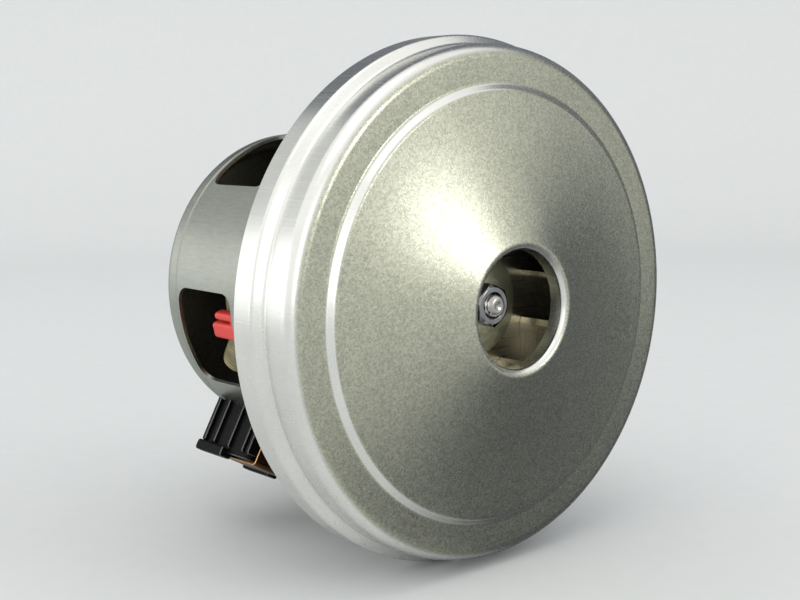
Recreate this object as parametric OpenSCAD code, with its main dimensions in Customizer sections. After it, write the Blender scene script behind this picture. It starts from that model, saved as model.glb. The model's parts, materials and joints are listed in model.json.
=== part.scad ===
// Flow-through universal motor for a dry vacuum cleaner.
// The shaft lies along Y, the fan face looks to -Y and +Z is up.
// The origin is on the shaft axis, in the plane of the cover's rim edge.
// Modules are drawn with the shaft along z, fan end up, and lay() puts them in place.

/* [Fan cover] */
// Outside radius of the rim that the seal ring grips
cover_r = 67.5; // [66.5:0.1:70]
// Sheet thickness of the cover
cover_sheet = 0.8; // [0.6:0.05:1]
// Length of the rim band
rim_len = 6.5; // [6:0.1:7.5]
// Length of the slope between the rim band and the front band
rim_step = 2; // [1.8:0.1:2.6]
// How far the front band lies inside the rim
rim_inset = 2.5; // [2:0.1:3]
// Height of the flat face above the rim edge
face_s = 18; // [17.5:0.1:21]
// Bend radius between the front band and the flat face
corner_r = 3.5; // [2:0.1:4.5]
// Radius of the raised ring's foot
ring_r = 55.2; // [52:0.1:57]
// Rise of the raised ring above the flat face
ring_rise = 1.6; // [1.4:0.1:2.2]
// Slope of the cone at its foot, degrees
cone_foot_deg = 4; // [3:0.5:6]
// Slope of the cone at its neck, degrees
cone_neck_deg = 16.5; // [14:0.5:20]
// Inside radius of the inlet
eye_r = 14.8; // [13.8:0.1:16]
// Bend radius of the rolled inlet lip
lip_r = 1.8; // [1.4:0.1:2.2]
// Length of the inlet tube below its lip
eye_tube = 3; // [1.5:0.5:4]

/* [Motor frame] */
// Outside radius of the frame
frame_r = 43; // [42:0.1:45]
// Sheet thickness of the frame
frame_sheet = 1; // [0.8:0.05:1.2]
// Distance from the rim edge to the frame's rear face
frame_len = 73.2; // [71:0.1:76]
// Bend radius of the rear edge
frame_corner = 5; // [3:0.1:6]
// Depth of the dish in the flange, behind the rim edge
flange_drop = 5; // [4.5:0.1:6]
// Length of the rear bearing boss
boss_len = 9; // [8.8:0.1:11]
// Turn of the frame about the shaft, degrees
frame_turn = 23; // [0:0.1:45]
// Width of a window, degrees
window_deg = 38.5; // [30.5:1:41.5]
// Angle from the pole axis to a window's middle, degrees
window_mid_deg = 39.7; // [36:0.1:44]
// Length of a window along the shaft
window_len = 25.5; // [20:0.5:26]
// Distance from a window to the rear face
window_back = 9.2; // [8.4:0.1:11]
// Corner radius of a window
window_corner = 4; // [2:0.5:6]

/* [Bearings] */
// Bore of a bearing
brg_bore = 8; // [7:0.5:9]
// Outside diameter of a bearing
brg_od = 22; // [21:0.5:23]
// Width of a bearing
brg_w = 7; // [7:0.1:7.5]
// Ball diameter
ball_d = 3.969; // [3.5:0.001:4.2]
// Balls in a bearing
ball_count = 7; // [6:1:8]
// Sheet thickness of the bearing bridge
bracket_sheet = 1.5; // [1.2:0.1:1.8]
// Width of the bearing bridge's arms
bracket_w = 22; // [18:0.5:23]

/* [Stator] */
// Distance from the rim edge to the front of the stack
stack_front = 12; // [11:0.5:13]
// Radius of the armature
armature_r = 18.5; // [17.5:0.1:19.5]
// Air gap between armature and poles
air_gap = 0.5; // [0.4:0.05:0.8]
// Thickness of the pole tips
tip_t = 3.5; // [3:0.1:5]
// Half width of a pole's neck
neck_half = 10; // [8:0.5:11]
// Half height of the stack across its flats
core_flat = 37; // [36.8:0.1:38.5]
// Thickness of the yoke
yoke_t = 6.5; // [5.5:0.1:6.6]
// Overhang of a field coil past its former's base
coil_over = 12.5; // [12:0.1:13.5]
// Half angle that a field coil spans, degrees
coil_deg = 60; // [58:0.5:61]
// Wire loops in a coil's outer layer
coil_loops = 8; // [5:1:8]
// Diameter of the wire bundle in the outer layer
wire_d = 0.9; // [0.7:0.05:0.95]
// Step from one loop to the next
loop_step = 1.4; // [1.38:0.01:1.42]

/* [Armature] */
// Slots in the armature
slot_count = 12; // [10:1:14]
// Width of a slot
slot_w = 3.4; // [2.6:0.1:3.6]
// Length of the end turns
end_turn = 5.5; // [4.5:0.1:5.8]
// Radius of the commutator
comm_r = 12; // [11.5:0.1:12.5]
// Length of the commutator
comm_len = 15; // [14.6:0.1:15.6]
// Commutator bars
bar_count = 24; // [20:2:28]
// Slit between commutator bars
bar_slit = 0.6; // [0.4:0.1:0.8]

/* [Impeller] */
// Radius of the impeller
impeller_r = 52; // [48:0.1:57]
// Sheet thickness of the impeller
impeller_sheet = 0.8; // [0.6:0.05:1]
// Blades
blade_count = 9; // [7:1:11]
// Radius of the blades' leading edges
blade_in_r = 18.4; // [18:0.1:21]
// Angle that a blade wraps round the shaft, degrees
blade_wrap = 75; // [65:1:80]
// Bend radius of a blade
blade_bend = 45; // [42:1:55]
// Diameter of the impeller thread
thread_d = 6; // [5:0.5:6.5]
// Width of the nut across its flats
nut_af = 10; // [9.5:0.5:11]
// Height of the nut
nut_h = 5; // [4:0.1:5.5]
// Radius of the clamp washer
clamp_r = 13.5; // [11:0.1:14]
// Thickness of the clamp washer
clamp_t = 1.5; // [1:0.1:2]

/* [Diffuser] */
// Thickness of the diffuser plate
diff_plate = 1.5; // [1.2:0.1:1.8]
// Vanes round the diffuser's rim
rim_vanes = 15; // [11:1:19]
// Return vanes behind the plate
return_vanes = 12; // [8:1:14]

/* [Brushes] */
// Angle from the pole axis to a brush, degrees
brush_deg = 83.5; // [80:0.1:95]
// Distance from the frame's rear face to the brushes' middle
brush_back = 18.2; // [17.4:0.1:18.6]
// Width of a carbon brush
brush_w = 6.3; // [5:0.1:7]
// Length of a carbon brush along the shaft
brush_h = 11; // [10:0.1:11.2]
// Length of a carbon brush along its tube
brush_len = 27; // [22:0.5:30]
// Wall of the brush tube
tube_wall = 0.6; // [0.4:0.05:0.8]
// Radius at a holder's outer end
holder_out = 56.5; // [54:0.5:59]
// Half width of a holder
holder_half = 10; // [9:0.5:11]
// Length of a holder along the shaft
holder_len = 23; // [21:0.5:23]
// Turns of a brush spring
spring_turns = 8; // [6:1:9]
// Wire of a brush spring
spring_wire = 0.6; // [0.4:0.05:0.7]
// Thickness of the terminal strip
strip_t = 0.8; // [0.6:0.05:1]

/* [Clearances] */
// Gap of a pushed fit
fit = 0.02; // [0.01:0.01:0.05]
// Running gap at balls and brushes
run = 0.05; // [0.04:0.01:0.08]
// Gap between fixed pieces that only lie together
lie = 0.1; // [0.05:0.05:0.2]
// Running gap between impeller and cover
impeller_gap = 1.4; // [1:0.1:1.8]
// Running gap between impeller and diffuser
diff_gap = 1.4; // [1.2:0.1:1.8]

/* [Hidden] */
$fn = 96;
bend_steps = 8;
soft_bend = 1.4;
tight_bend = 0.4;
past = 1;

// Fan cover
neck_shift = 2.3;
cone_share = 0.42;
band_r = cover_r - rim_inset;
ring_s = face_s + ring_rise;
ring_in_r = ring_r - ring_rise;
cone_mid_r = (ring_in_r + eye_r + neck_shift) / 2;
cone_mid_s = ring_s + (ring_in_r - cone_mid_r) * tan(cone_foot_deg);
lip_corner_s = cone_mid_s + (cone_mid_r - eye_r) * tan(cone_neck_deg);
lip_mid_s = lip_corner_s - lip_r * (tan(cone_neck_deg) + 1 / cos(cone_neck_deg));
cone_bend = cone_share * (ring_in_r - eye_r) / tan((cone_neck_deg - cone_foot_deg) / 2);
cover_path = [
    [cover_r, 0, 0],
    [cover_r, rim_len, soft_bend],
    [band_r, rim_len + rim_step, soft_bend],
    [band_r, face_s, corner_r],
    [ring_r, face_s, soft_bend],
    [ring_in_r, ring_s, soft_bend],
    [cone_mid_r, cone_mid_s, cone_bend],
    [eye_r, lip_corner_s, lip_r],
    [eye_r, lip_mid_s - eye_tube, 0]
];

// Motor frame
crease = 0.3;
crease_gap = 1.2;
crease_len = 0.5;
mouth_bend = 3;
flange_s = 0.3;
flange_stop = 1;
dish_inset = 10;
dish_slope = 3;
cut_depth = 12;
boss_r = brg_od / 2 + fit + frame_sheet;
boss_s = frame_len + boss_len;
frame_in = frame_r - frame_sheet;
crease_s = frame_len - window_back + crease_gap;
flange_r = cover_r - cover_sheet - fit;
dish_r = cover_r - dish_inset;
flange_face = frame_sheet - flange_drop;
frame_path = [
    [0, -boss_s, 0],
    [boss_r, -boss_s, soft_bend],
    [boss_r, -frame_len, soft_bend],
    [frame_r - crease, -frame_len, frame_corner],
    [frame_r - crease, -crease_s, tight_bend],
    [frame_r, -crease_s + crease_len, soft_bend],
    [frame_r, -flange_drop, mouth_bend],
    [dish_r, -flange_drop, soft_bend],
    [dish_r + dish_slope, flange_s, soft_bend],
    [flange_r, flange_s, soft_bend],
    [flange_r, rim_len - flange_stop, 0]
];
window_s = window_back + window_len / 2 - frame_len;

// Bearings and their seats
race_half = 1.45;
shield_t = 0.3;
shield_in = 0.1;
shield_seat = 0.4;
shield_gap = 0.2;
cage_half = 0.6;
cage_in = 0.75;
wave_t = 0.35;
wave_rise = 0.42;
wave_room = 1.4;
wave_in = 0.6;
wave_out = 0.3;
wave_count = 3;
wave_rings = 36;
bracket_inset = 3;
bracket_hole_gap = 2.5;
arm_rail = 4;
rail_gap = 2;
rail_end = 6;
screw_inset = 4.5;
screw_r = 2;
screw_len = 6;
screw_head_r = 3.5;
screw_head_h = 2.4;
pitch_r = (brg_bore + brg_od) / 4;
groove_r = ball_d / 2 + run;
shield_r = pitch_r + race_half + shield_seat;
rear_brg = frame_sheet - boss_s + wave_room;
front_brg = flange_face + bracket_sheet;
bracket_in = brg_od / 2 + fit;
bracket_out = bracket_in + bracket_sheet;
bracket_top = front_brg + brg_w + bracket_sheet;
bracket_half = dish_r - bracket_inset;
bracket_hole = brg_bore / 2 + bracket_hole_gap;
bracket_screw_r = bracket_half - screw_inset;
rail_from = bracket_out + rail_gap;
rail_to = bracket_half - rail_end;

// Impeller stack on the shaft
hub_gap = 0.4;
rear_washer_t = 1.2;
rear_washer_r = 9;
collar_t = 1.8;
lock_t = 1.1;
lock_inset = 0.3;
thread_end = 1.5;
shaft_step = 0.6;
shaft_edge = 0.5;
shaft_shoulder = 1;
shaft_tail = 0.3;
nut_edge = 0.5;
nut_chamfer = 0.9;
eye_run = 1.8;
blade_inset = 0.5;
blade_first_deg = -20;
hub_s = bracket_top + hub_gap + rear_washer_t;
plate_s = hub_s + impeller_sheet;
clamp_s = plate_s + clamp_t;
lock_s = clamp_s + lock_t;
nut_s = lock_s + nut_h;
nut_r = nut_af / 2 / cos(30);
shaft_front = nut_s + thread_end;
shaft_r = brg_bore / 2 - fit;
shaft_body_r = brg_bore / 2 + shaft_shoulder;
thread_r = thread_d / 2;
shroud_rim_s = face_s - cover_sheet - impeller_gap;
shroud_eye_r = eye_r + cover_sheet + eye_run;
shroud_mid_r = (impeller_r + shroud_eye_r) / 2;
shroud_mid_s = shroud_rim_s + (impeller_r - shroud_mid_r) * tan(cone_foot_deg);
shroud_eye_s = shroud_mid_s + (shroud_mid_r - shroud_eye_r) * tan(cone_neck_deg);
shroud_bend = cone_share * (impeller_r - shroud_eye_r) / tan((cone_neck_deg - cone_foot_deg) / 2);
shroud_path = [
    [impeller_r, shroud_rim_s, 0],
    [shroud_mid_r, shroud_mid_s, shroud_bend],
    [shroud_eye_r, shroud_eye_s, 0]
];
blade_out_r = impeller_r - blade_inset;

// Diffuser
vane_seat = 0.3;
vane_over = 2.4;
rim_vane_t = 1.4;
rim_vane_wrap = 14;
rim_vane_bend = 40;
rim_vane_drop = 1.5;
vane_lead_deg = 20;
vane_trail_deg = 14;
return_vane_t = 1.6;
return_wrap = 30;
return_bend = 45;
return_over = 4;
return_seat = 1.4;
bracket_room = 0.6;
diff_top = hub_s - diff_gap;
diff_bottom = diff_top - diff_plate;
diff_hole = bracket_out + vane_seat + lie;
rim_vane_in = impeller_r + impeller_gap;
rim_vane_out = band_r - cover_sheet - vane_seat;
diff_r = rim_vane_out - vane_over;
rim_vane_top = face_s - cover_sheet - corner_r;
rim_vane_bottom = diff_bottom - rim_vane_drop;
return_in = frame_in - return_over;
return_out = dish_r - return_seat;

// Armature
riser_len = 1.5;
riser_h = 1.6;
comm_wall = 2.6;
comm_tail = 0.6;
comm_nose = 0.4;
slot_in = 10.5;
slot_lid = 1.3;
slot_mouth = 1.8;
disc_t = 1;
turn_gap = 1.6;
winding_gap = 0.6;
turn_round = 2;
comm_hub_r = comm_r - comm_wall;
brush_s = brush_back - frame_len;
comm_front = brush_s + comm_len / 2;
stack_rear = comm_front + comm_nose + winding_gap + end_turn + disc_t;
stack_len = -stack_front - stack_rear;
riser_r = comm_r + riser_h;
turn_in = shaft_body_r + turn_gap;
turn_out = armature_r - slot_lid;

// Stator
yoke_gap = 0.4;
tip_more_deg = 3;
former_t = 1;
former_gap = 0.4;
former_edge = 0.8;
former_rim = 1.4;
coil_gap = 0.8;
coil_window_deg = 27;
coil_edge = 2.5;
coil_room = 0.3;
wire_lift = 0.4;
loop_corner = 3;
wall_t = 1.7;
wall_low = 4;
wall_deg = 57;
pocket_deg = 37;
pocket_t = 3.3;
pocket_over = 0.3;
pocket_floor = 5;
lug_side = -5.4;
lug_w = 2.4;
lug_short = 2.4;
wide_lug_side = -2.2;
wide_lug_w = 4.7;
lug_round = 1.1;
lug_edge = 0.3;
contact_t = 1.1;
contact_w = 2.8;
contact_depth = 6;
stack_mid = (stack_rear - stack_front) / 2;
core_r = frame_in - lie;
yoke_r = core_r - yoke_t - yoke_gap;
bore_r = armature_r + air_gap;
tip_r = bore_r + tip_t;
tip_deg = coil_deg + tip_more_deg;
coil_in = tip_r + coil_gap;
coil_top = min(yoke_r, (core_flat - yoke_t) / sin(coil_deg)) - coil_room;
coil_half = stack_len / 2 + former_t + coil_over;
wire_r = wire_d / 2;
wire_at = coil_top - wire_r;
coil_out = wire_at - wire_r - wire_lift;
coil_t = coil_out - coil_in;
coil_round = min(coil_edge, coil_t / 2 - lie);
loop_half_w = wire_at * coil_deg * PI / 180 - wire_d - coil_loops * loop_step;
loop_half_h = coil_half - wire_r - coil_loops * loop_step;
former_in = bore_r + former_edge;
wall_in = core_r - yoke_t;
wall_out = wall_in + wall_t;
pocket_h = former_t + coil_over + pocket_over;
pocket_in = wall_in + wall_t / 2;
lugs_w = wide_lug_side + wide_lug_w - lug_side;

// Brushes
tube_gap = 0.7;
tube_round = 0.5;
neck_wall = 1.6;
neck_depth = 5;
neck_round = 1;
barb = 0.7;
barb_at = 2.2;
barb_len = 1.4;
barb_inset = 1;
holder_foot = 8;
holder_round = 1.5;
rib_t = 1;
rib_w = 1.3;
rib_side = 0.4;
rib_round = 0.8;
rib_places = [0.7, 5.4, 12.6, 19.4, 22.3];
lip_from = 10.5;
lip_h = 1.5;
lip_w = 4;
lip_over = 1;
lip_round = 0.8;
strip_back = 8;
strip_leg = 6;
spring_r = 2.4;
spring_seat = 0.3;
brush_face = comm_r + lie;
brush_end = comm_r + brush_len;
tube_w = brush_w / 2 + lie;
tube_h = brush_h / 2 + lie;
tube_in = riser_r + tube_gap;
tube_out_w = tube_w + tube_wall;
tube_out_h = tube_h + tube_wall;
neck_w = tube_out_w + neck_wall;
neck_h = tube_out_h + neck_wall;
neck_in = frame_in - neck_depth;
strip_half = holder_half + lip_over - lip_w - lie;
strip_path = [
    [holder_out + strip_t, -strip_back, 0],
    [holder_out + strip_t, holder_len / 2 + strip_t, strip_t + tight_bend],
    [holder_out - strip_leg, holder_len / 2 + strip_t, 0]
];
spring_lead = (holder_out - brush_end - 2 * (spring_wire + spring_seat)) / spring_turns;

tube_sides = 6;
loop_rings = 24;
curl_rings = 8;

// Vectors
function unit(v) = v / norm(v);
function left(v) = [-v[1], v[0]];
function swing(v, a) = [v[0] * cos(a) - v[1] * sin(a), v[0] * sin(a) + v[1] * cos(a)];
function flip(list) = [for (i = [len(list) - 1:-1:0]) list[i]];
function xy(p) = [p[0], p[1]];

// The edge of a bent sheet: the path's corners rounded, moved off to the left by d
function bend(a, b, c, radius, d) =
    let (go = unit(b - a), on = unit(c - b))
    let (turn = atan2(go[0] * on[1] - go[1] * on[0], go * on))
    let (side = sign(turn))
    let (mid = b - go * radius * tan(abs(turn) / 2) + left(go) * side * radius)
    [for (k = [0:bend_steps]) mid - swing(left(go), turn * k / bend_steps) * side * (radius - side * d)];
function sheet_edge(path, d) =
    let (n = len(path) - 1)
    let (first = unit(xy(path[1]) - xy(path[0])), last = unit(xy(path[n]) - xy(path[n - 1])))
    concat(
        [xy(path[0]) + left(first) * d],
        [for (i = [1:n - 1]) each bend(xy(path[i - 1]), xy(path[i]), xy(path[i + 1]), path[i][2], d)],
        [xy(path[n]) + left(last) * d]
    );

// A round wire along points, with the direction that each ring's first corner faces
function wire_dir(p, i) = unit(p[min(i + 1, len(p) - 1)] - p[max(i - 1, 0)]);
function wire_ring(p, i, face, radius) =
    let (t = wire_dir(p, i))
    let (n = unit(face - t * (face * t)))
    let (b = cross(t, n))
    let (step = 360 / tube_sides)
    [for (k = [0:tube_sides - 1]) p[i] + radius * (n * cos(step * k) + b * sin(step * k))];
function wire_faces(rings) =
    let (s = tube_sides)
    concat(
        [for (k = [1:s - 2]) [0, k, k + 1]],
        [for (i = [0:rings - 2], k = [0:s - 1]) [(i + 1) * s + (k + 1) % s, i * s + (k + 1) % s, i * s + k]],
        [for (i = [0:rings - 2], k = [0:s - 1]) [(i + 1) * s + k, (i + 1) * s + (k + 1) % s, i * s + k]],
        [for (k = [1:s - 2]) [(rings - 1) * s, (rings - 1) * s + k + 1, (rings - 1) * s + k]]
    );
module wire(p, faces, radius) {
    polyhedron([for (i = [0:len(p) - 1]) each wire_ring(p, i, faces[i], radius)], wire_faces(len(p)));
}
function least_gap(p, apart, d) =
    min([for (i = [0:len(p) - 1 - apart], j = [i + apart:len(p) - 1]) norm(p[i] - p[j])]) - d;

// Points of a field coil's outer layer, a spiral of rounded rectangles laid on a cylinder
// Each half loop has 4 points on a corner, 4 along the end and 4 on the next corner
function loop_flat(i, grow) =
    let (j = i % 12, half = floor(i / 12) % 2 == 0 ? 1 : -1)
    let (w = loop_half_w - loop_corner, h = loop_half_h - loop_corner, c = loop_corner + grow)
    half * (
        j < 4 ? [w, h] + c * [cos(30 * j), sin(30 * j)] :
        j < 8 ? [w * (1 - 2 * (j - 3) / 5), h + c] :
        [-w, h] + c * [cos(30 * (j - 5)), sin(30 * (j - 5))]
    );
function on_coil(v) =
    let (a = v[0] / wire_at * 180 / PI)
    [wire_at * cos(a), wire_at * sin(a), stack_mid + v[1]];
loop_turns = [for (i = [0:coil_loops * loop_rings]) on_coil(loop_flat(i, loop_step * i / loop_rings))];
loop_last = loop_turns[len(loop_turns) - 1];
loop_points = concat([loop_turns[0] - [0, 0, wire_d]], loop_turns, [loop_last + [0, 0, wire_d]]);
loop_faces = [for (p = loop_points) unit([p[0], p[1], 0])];
echo(least_gap_between_coil_loops = least_gap(loop_points, loop_rings / 2, wire_d));

// Points of a brush spring, a helix along x
function spring_at(a) = [
    brush_end + spring_wire + spring_seat + spring_lead * a / 360,
    spring_r * cos(a),
    spring_r * sin(a)
];
spring_curls = [for (i = [0:spring_turns * curl_rings]) spring_at(i * 360 / curl_rings)];
spring_last = spring_curls[len(spring_curls) - 1];
spring_end = [0, 0, spring_wire];
spring_points = concat([spring_curls[0] - spring_end], spring_curls, [spring_last + spring_end]);
spring_faces = [for (p = spring_points) unit([0, p[1], p[2]])];
echo(least_gap_between_spring_curls = least_gap(spring_points, curl_rings / 2, spring_wire));

// Placing and plain shapes
module lay() {
    rotate([90, 0, 0]) rotate([0, 0, -frame_turn]) children();
}
module at(s) {
    translate([0, 0, s]) children();
}
module ring2d(r1, r2) {
    difference() {
        circle(r2);
        circle(r1);
    }
}
module wedge2d(a1, a2, r) {
    step = (a2 - a1) / 4;
    polygon(concat([[0, 0]], [for (k = [0:4]) 2 * r * [cos(a1 + step * k), sin(a1 + step * k)]]));
}
module arc2d(r1, r2, half) {
    intersection() {
        ring2d(r1, r2);
        wedge2d(-half, half, r2);
    }
}
module round_box2d(w, h, r) {
    square([w - 2 * r, h], center = true);
    square([w, h - 2 * r], center = true);
    for (x = [-1, 1], y = [-1, 1]) {
        translate([x * (w / 2 - r), y * (h / 2 - r)]) circle(r);
    }
}
module tube(r1, r2, s1, s2) {
    at(s1) linear_extrude(s2 - s1) ring2d(r1, r2);
}
module sheet_round(path, t) {
    rotate_extrude() polygon(concat(sheet_edge(path, 0), flip(sheet_edge(path, t))));
}
// A strip bent to one arc from radius r1 to r2, which wraps round the centre by wrap degrees
module vane2d(r1, r2, wrap, radius, t) {
    a = [r1, 0];
    b = r2 * [cos(wrap), -sin(wrap)];
    half = norm(b - a) / 2;
    mid = (a + b) / 2 + left(unit(b - a)) * -sqrt(radius * radius - half * half);
    intersection() {
        translate(mid) ring2d(radius - t / 2, radius + t / 2);
        ring2d(r1, r2);
        wedge2d(-wrap - vane_trail_deg, vane_lead_deg, r2);
    }
}

// Housing pieces
module fan_cover() {
    color("#c3c6c4") lay() sheet_round(cover_path, cover_sheet);
}
module window_cut() {
    for (k = [0, 180], side = [-1, 1]) {
        rotate([0, 0, k + side * window_mid_deg]) at(window_s) rotate([90, 0, 90])
            at(frame_in - cut_depth / 2) linear_extrude(cut_depth)
                round_box2d(2 * frame_r * sin(window_deg / 2), window_len, window_corner);
    }
}
module motor_frame() {
    color("#b9bdbb") lay() difference() {
        sheet_round(frame_path, frame_sheet);
        window_cut();
        for (k = [0, 1]) {
            brush_place(k) block(frame_in - cut_depth / 2, frame_in + cut_depth / 2,
                neck_w + lie, neck_h + lie, neck_round);
        }
        bracket_screw_holes(screw_r + fit);
    }
}
module bracket_screw_holes(r) {
    for (y = [-1, 1]) {
        translate([0, y * bracket_screw_r, -flange_drop - screw_len]) cylinder(r = r, h = 3 * screw_len);
    }
}
module front_bracket() {
    color("#a9adae") lay() difference() {
        union() {
            at(flange_face) linear_extrude(bracket_sheet)
                round_box2d(bracket_w, 2 * bracket_half, bracket_w / 2 - bracket_sheet);
            tube(bracket_in, bracket_out, flange_face, bracket_top);
            tube(bracket_hole, bracket_out, bracket_top - bracket_sheet, bracket_top);
            for (x = [-1, 1], y = [-1, 1]) {
                translate([x * (bracket_w - bracket_sheet) / 2, y * (rail_from + rail_to) / 2, flange_face])
                    linear_extrude(arm_rail) square([bracket_sheet, rail_to - rail_from], center = true);
            }
        }
        at(flange_face - past) cylinder(r = bracket_in, h = front_brg + brg_w - flange_face + past);
        bracket_screw_holes(screw_r + fit);
    }
}
module bracket_screws() {
    color("#d0d2d2") lay() for (y = [-1, 1]) {
        translate([0, y * bracket_screw_r, 0]) {
            at(front_brg - screw_len - bracket_sheet) cylinder(r = screw_r, h = screw_len + bracket_sheet);
            at(front_brg) cylinder(r = screw_head_r, h = screw_head_h);
        }
    }
}
module diffuser() {
    color("#2b2c2e") lay() difference() {
        union() {
            tube(diff_hole, diff_r, diff_bottom, diff_top);
            for (k = [0:rim_vanes - 1]) {
                rotate([0, 0, k * 360 / rim_vanes]) at(rim_vane_bottom)
                    linear_extrude(rim_vane_top - rim_vane_bottom)
                        mirror([0, 1])
                            vane2d(rim_vane_in, rim_vane_out, rim_vane_wrap, rim_vane_bend, rim_vane_t);
            }
            for (k = [0:return_vanes - 1]) {
                rotate([0, 0, (k + 0.5) * 360 / return_vanes]) at(flange_face)
                    linear_extrude(diff_bottom - flange_face)
                        mirror([0, 1]) vane2d(return_in, return_out, return_wrap, return_bend, return_vane_t);
            }
        }
        at(flange_face - past) linear_extrude(arm_rail + bracket_room + past)
            square([bracket_w, 2 * bracket_half] + 2 * bracket_room * [1, 1], center = true);
    }
}

// Stator pieces
module both_poles() {
    for (k = [0, 180]) {
        rotate(k) children();
    }
}
module stator_core() {
    color("#6f7376") lay() at(stack_rear) linear_extrude(stack_len) difference() {
        union() {
            difference() {
                intersection() {
                    circle(core_r);
                    square([2 * core_r, 2 * core_flat], center = true);
                }
                intersection() {
                    circle(yoke_r);
                    square([2 * yoke_r, 2 * (core_flat - yoke_t)], center = true);
                }
            }
            intersection() {
                circle(yoke_r + past);
                square([2 * core_r, 2 * neck_half], center = true);
            }
            both_poles() arc2d(bore_r - past, tip_r, tip_deg);
        }
        circle(bore_r);
    }
}
module field_coil(k) {
    rotate([0, 0, 180 * k]) {
        intersection() {
            difference() {
                at(stack_mid - coil_half) linear_extrude(2 * coil_half) arc2d(coil_in, coil_out, coil_deg);
                at(stack_rear - former_t - lie) linear_extrude(stack_len + 2 * (former_t + lie))
                    wedge2d(-coil_window_deg, coil_window_deg, coil_out);
            }
            rotate_extrude() translate([(coil_in + coil_out) / 2, stack_mid])
                round_box2d(coil_t, 2 * coil_half, coil_round);
        }
        wire(loop_points, loop_faces, wire_r);
    }
}
module field_coil_a() {
    color("#8c6a2c") lay() field_coil(0);
}
module field_coil_b() {
    color("#8c6a2c") lay() field_coil(1);
}
// One end former of the stator, drawn for the rear end with its base at z 0
module coil_former(pockets) {
    linear_extrude(former_t) both_poles() difference() {
        arc2d(former_in, wall_out, wall_deg);
        difference() {
            arc2d(tip_r + former_gap, wall_in - former_gap / 2, tip_deg);
            wedge2d(past - coil_window_deg, coil_window_deg - past, wall_out);
        }
    }
    linear_extrude(wall_low) both_poles() arc2d(wall_in, wall_out, wall_deg);
    linear_extrude(former_t + coil_over / 2) both_poles() arc2d(former_in, former_in + former_rim, wall_deg);
    if (pockets) {
        for (k = [0, 180]) {
            rotate([0, 0, k + pocket_deg]) pocket();
        }
    }
}
// A narrow and a wide rounded lug on one foot, with a slot for a plug-in contact in the wide one
module pocket() {
    difference() {
        union() {
            lug(lug_side, lug_w, pocket_h - lug_short);
            lug(wide_lug_side, wide_lug_w, pocket_h);
            translate([pocket_in + lug_edge, lug_side + lug_round, 0])
                cube([pocket_t - 2 * lug_edge, lugs_w - 2 * lug_round, pocket_floor]);
        }
        translate([pocket_in + (pocket_t - contact_t) / 2, wide_lug_side + (wide_lug_w - contact_w) / 2, 0])
            at(pocket_h - contact_depth) cube([contact_t, contact_w, contact_depth + past]);
    }
}
module lug(side, w, h) {
    translate([pocket_in + pocket_t / 2, side + w / 2, 0]) intersection() {
        linear_extrude(h) round_box2d(pocket_t, w, lug_round);
        rotate([90, 0, 90]) linear_extrude(pocket_t + 2 * past, center = true)
            round_box2d(w + lug_edge, 2 * h, lug_round);
    }
}
module coil_former_rear() {
    color("#d8322f") lay() at(stack_rear) mirror([0, 0, 1]) coil_former(true);
}
module coil_former_front() {
    color("#d8322f") lay() at(-stack_front) coil_former(false);
}

// Bearing pieces, each drawn from its rear face up
module outer_race() {
    rotate_extrude() difference() {
        translate([pitch_r + race_half, 0]) square([brg_od / 2 - pitch_r - race_half, brg_w]);
        translate([pitch_r, brg_w / 2]) circle(groove_r);
        for (s = [-past, brg_w - shield_t - shield_in]) {
            translate([0, s]) square([shield_r, past + shield_t + shield_in]);
        }
    }
}
module inner_race() {
    rotate_extrude() difference() {
        translate([brg_bore / 2, 0]) square([pitch_r - race_half - brg_bore / 2, brg_w]);
        translate([pitch_r, brg_w / 2]) circle(groove_r);
    }
}
module shields() {
    for (s = [shield_in, brg_w - shield_t - shield_in]) {
        tube(pitch_r - race_half + shield_gap, shield_r - fit, s, s + shield_t);
    }
}
module each_ball() {
    for (k = [0:ball_count - 1]) {
        rotate([0, 0, k * 360 / ball_count]) translate([pitch_r, 0, brg_w / 2]) children();
    }
}
module ball_cage() {
    difference() {
        tube(pitch_r - cage_half, pitch_r + cage_half, cage_in, brg_w - cage_in);
        each_ball() rotate([0, 90, 0]) cylinder(r = groove_r, h = ball_d, center = true);
    }
}
module front_bearing_outer_race() {
    color("#c9ccce") lay() at(front_brg) outer_race();
}
module front_bearing_shields() {
    color("#8f9396") lay() at(front_brg) shields();
}
module front_bearing_inner_race() {
    color("#c9ccce") lay() at(front_brg) inner_race();
}
module front_bearing_balls() {
    color("#e2e4e6") lay() at(front_brg) each_ball() sphere(ball_d / 2);
}
module front_bearing_cage() {
    color("#a88a4a") lay() at(front_brg) ball_cage();
}
module rear_bearing_outer_race() {
    color("#c9ccce") lay() at(rear_brg) outer_race();
}
module rear_bearing_shields() {
    color("#8f9396") lay() at(rear_brg) shields();
}
module rear_bearing_inner_race() {
    color("#c9ccce") lay() at(rear_brg) inner_race();
}
module rear_bearing_balls() {
    color("#e2e4e6") lay() at(rear_brg) each_ball() sphere(ball_d / 2);
}
module rear_bearing_cage() {
    color("#a88a4a") lay() at(rear_brg) ball_cage();
}
// A wavy spring ring between the boss and the rear bearing's outer race
module rear_wave_washer() {
    n = wave_rings;
    r1 = pitch_r + wave_in;
    r2 = brg_od / 2 - wave_out;
    mid = rear_brg - wave_room / 2;
    function corner(i, j) =
        let (a = 360 * i / n)
        let (s = mid + wave_rise * cos(wave_count * a) + (j > 1 ? wave_t / 2 : -wave_t / 2))
        let (r = j == 0 || j == 3 ? r1 : r2)
        [r * cos(a), r * sin(a), s];
    color("#b4b7b8") lay() polyhedron(
        [for (i = [0:n - 1], j = [0:3]) corner(i, j)],
        [for (i = [0:n - 1], j = [0:3], h = [0, 1])
            let (i2 = (i + 1) % n, j2 = (j + 1) % 4)
            h == 0 ? [4 * i + j, 4 * i2 + j, 4 * i2 + j2] : [4 * i + j, 4 * i2 + j2, 4 * i + j2]]
    );
}

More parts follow.
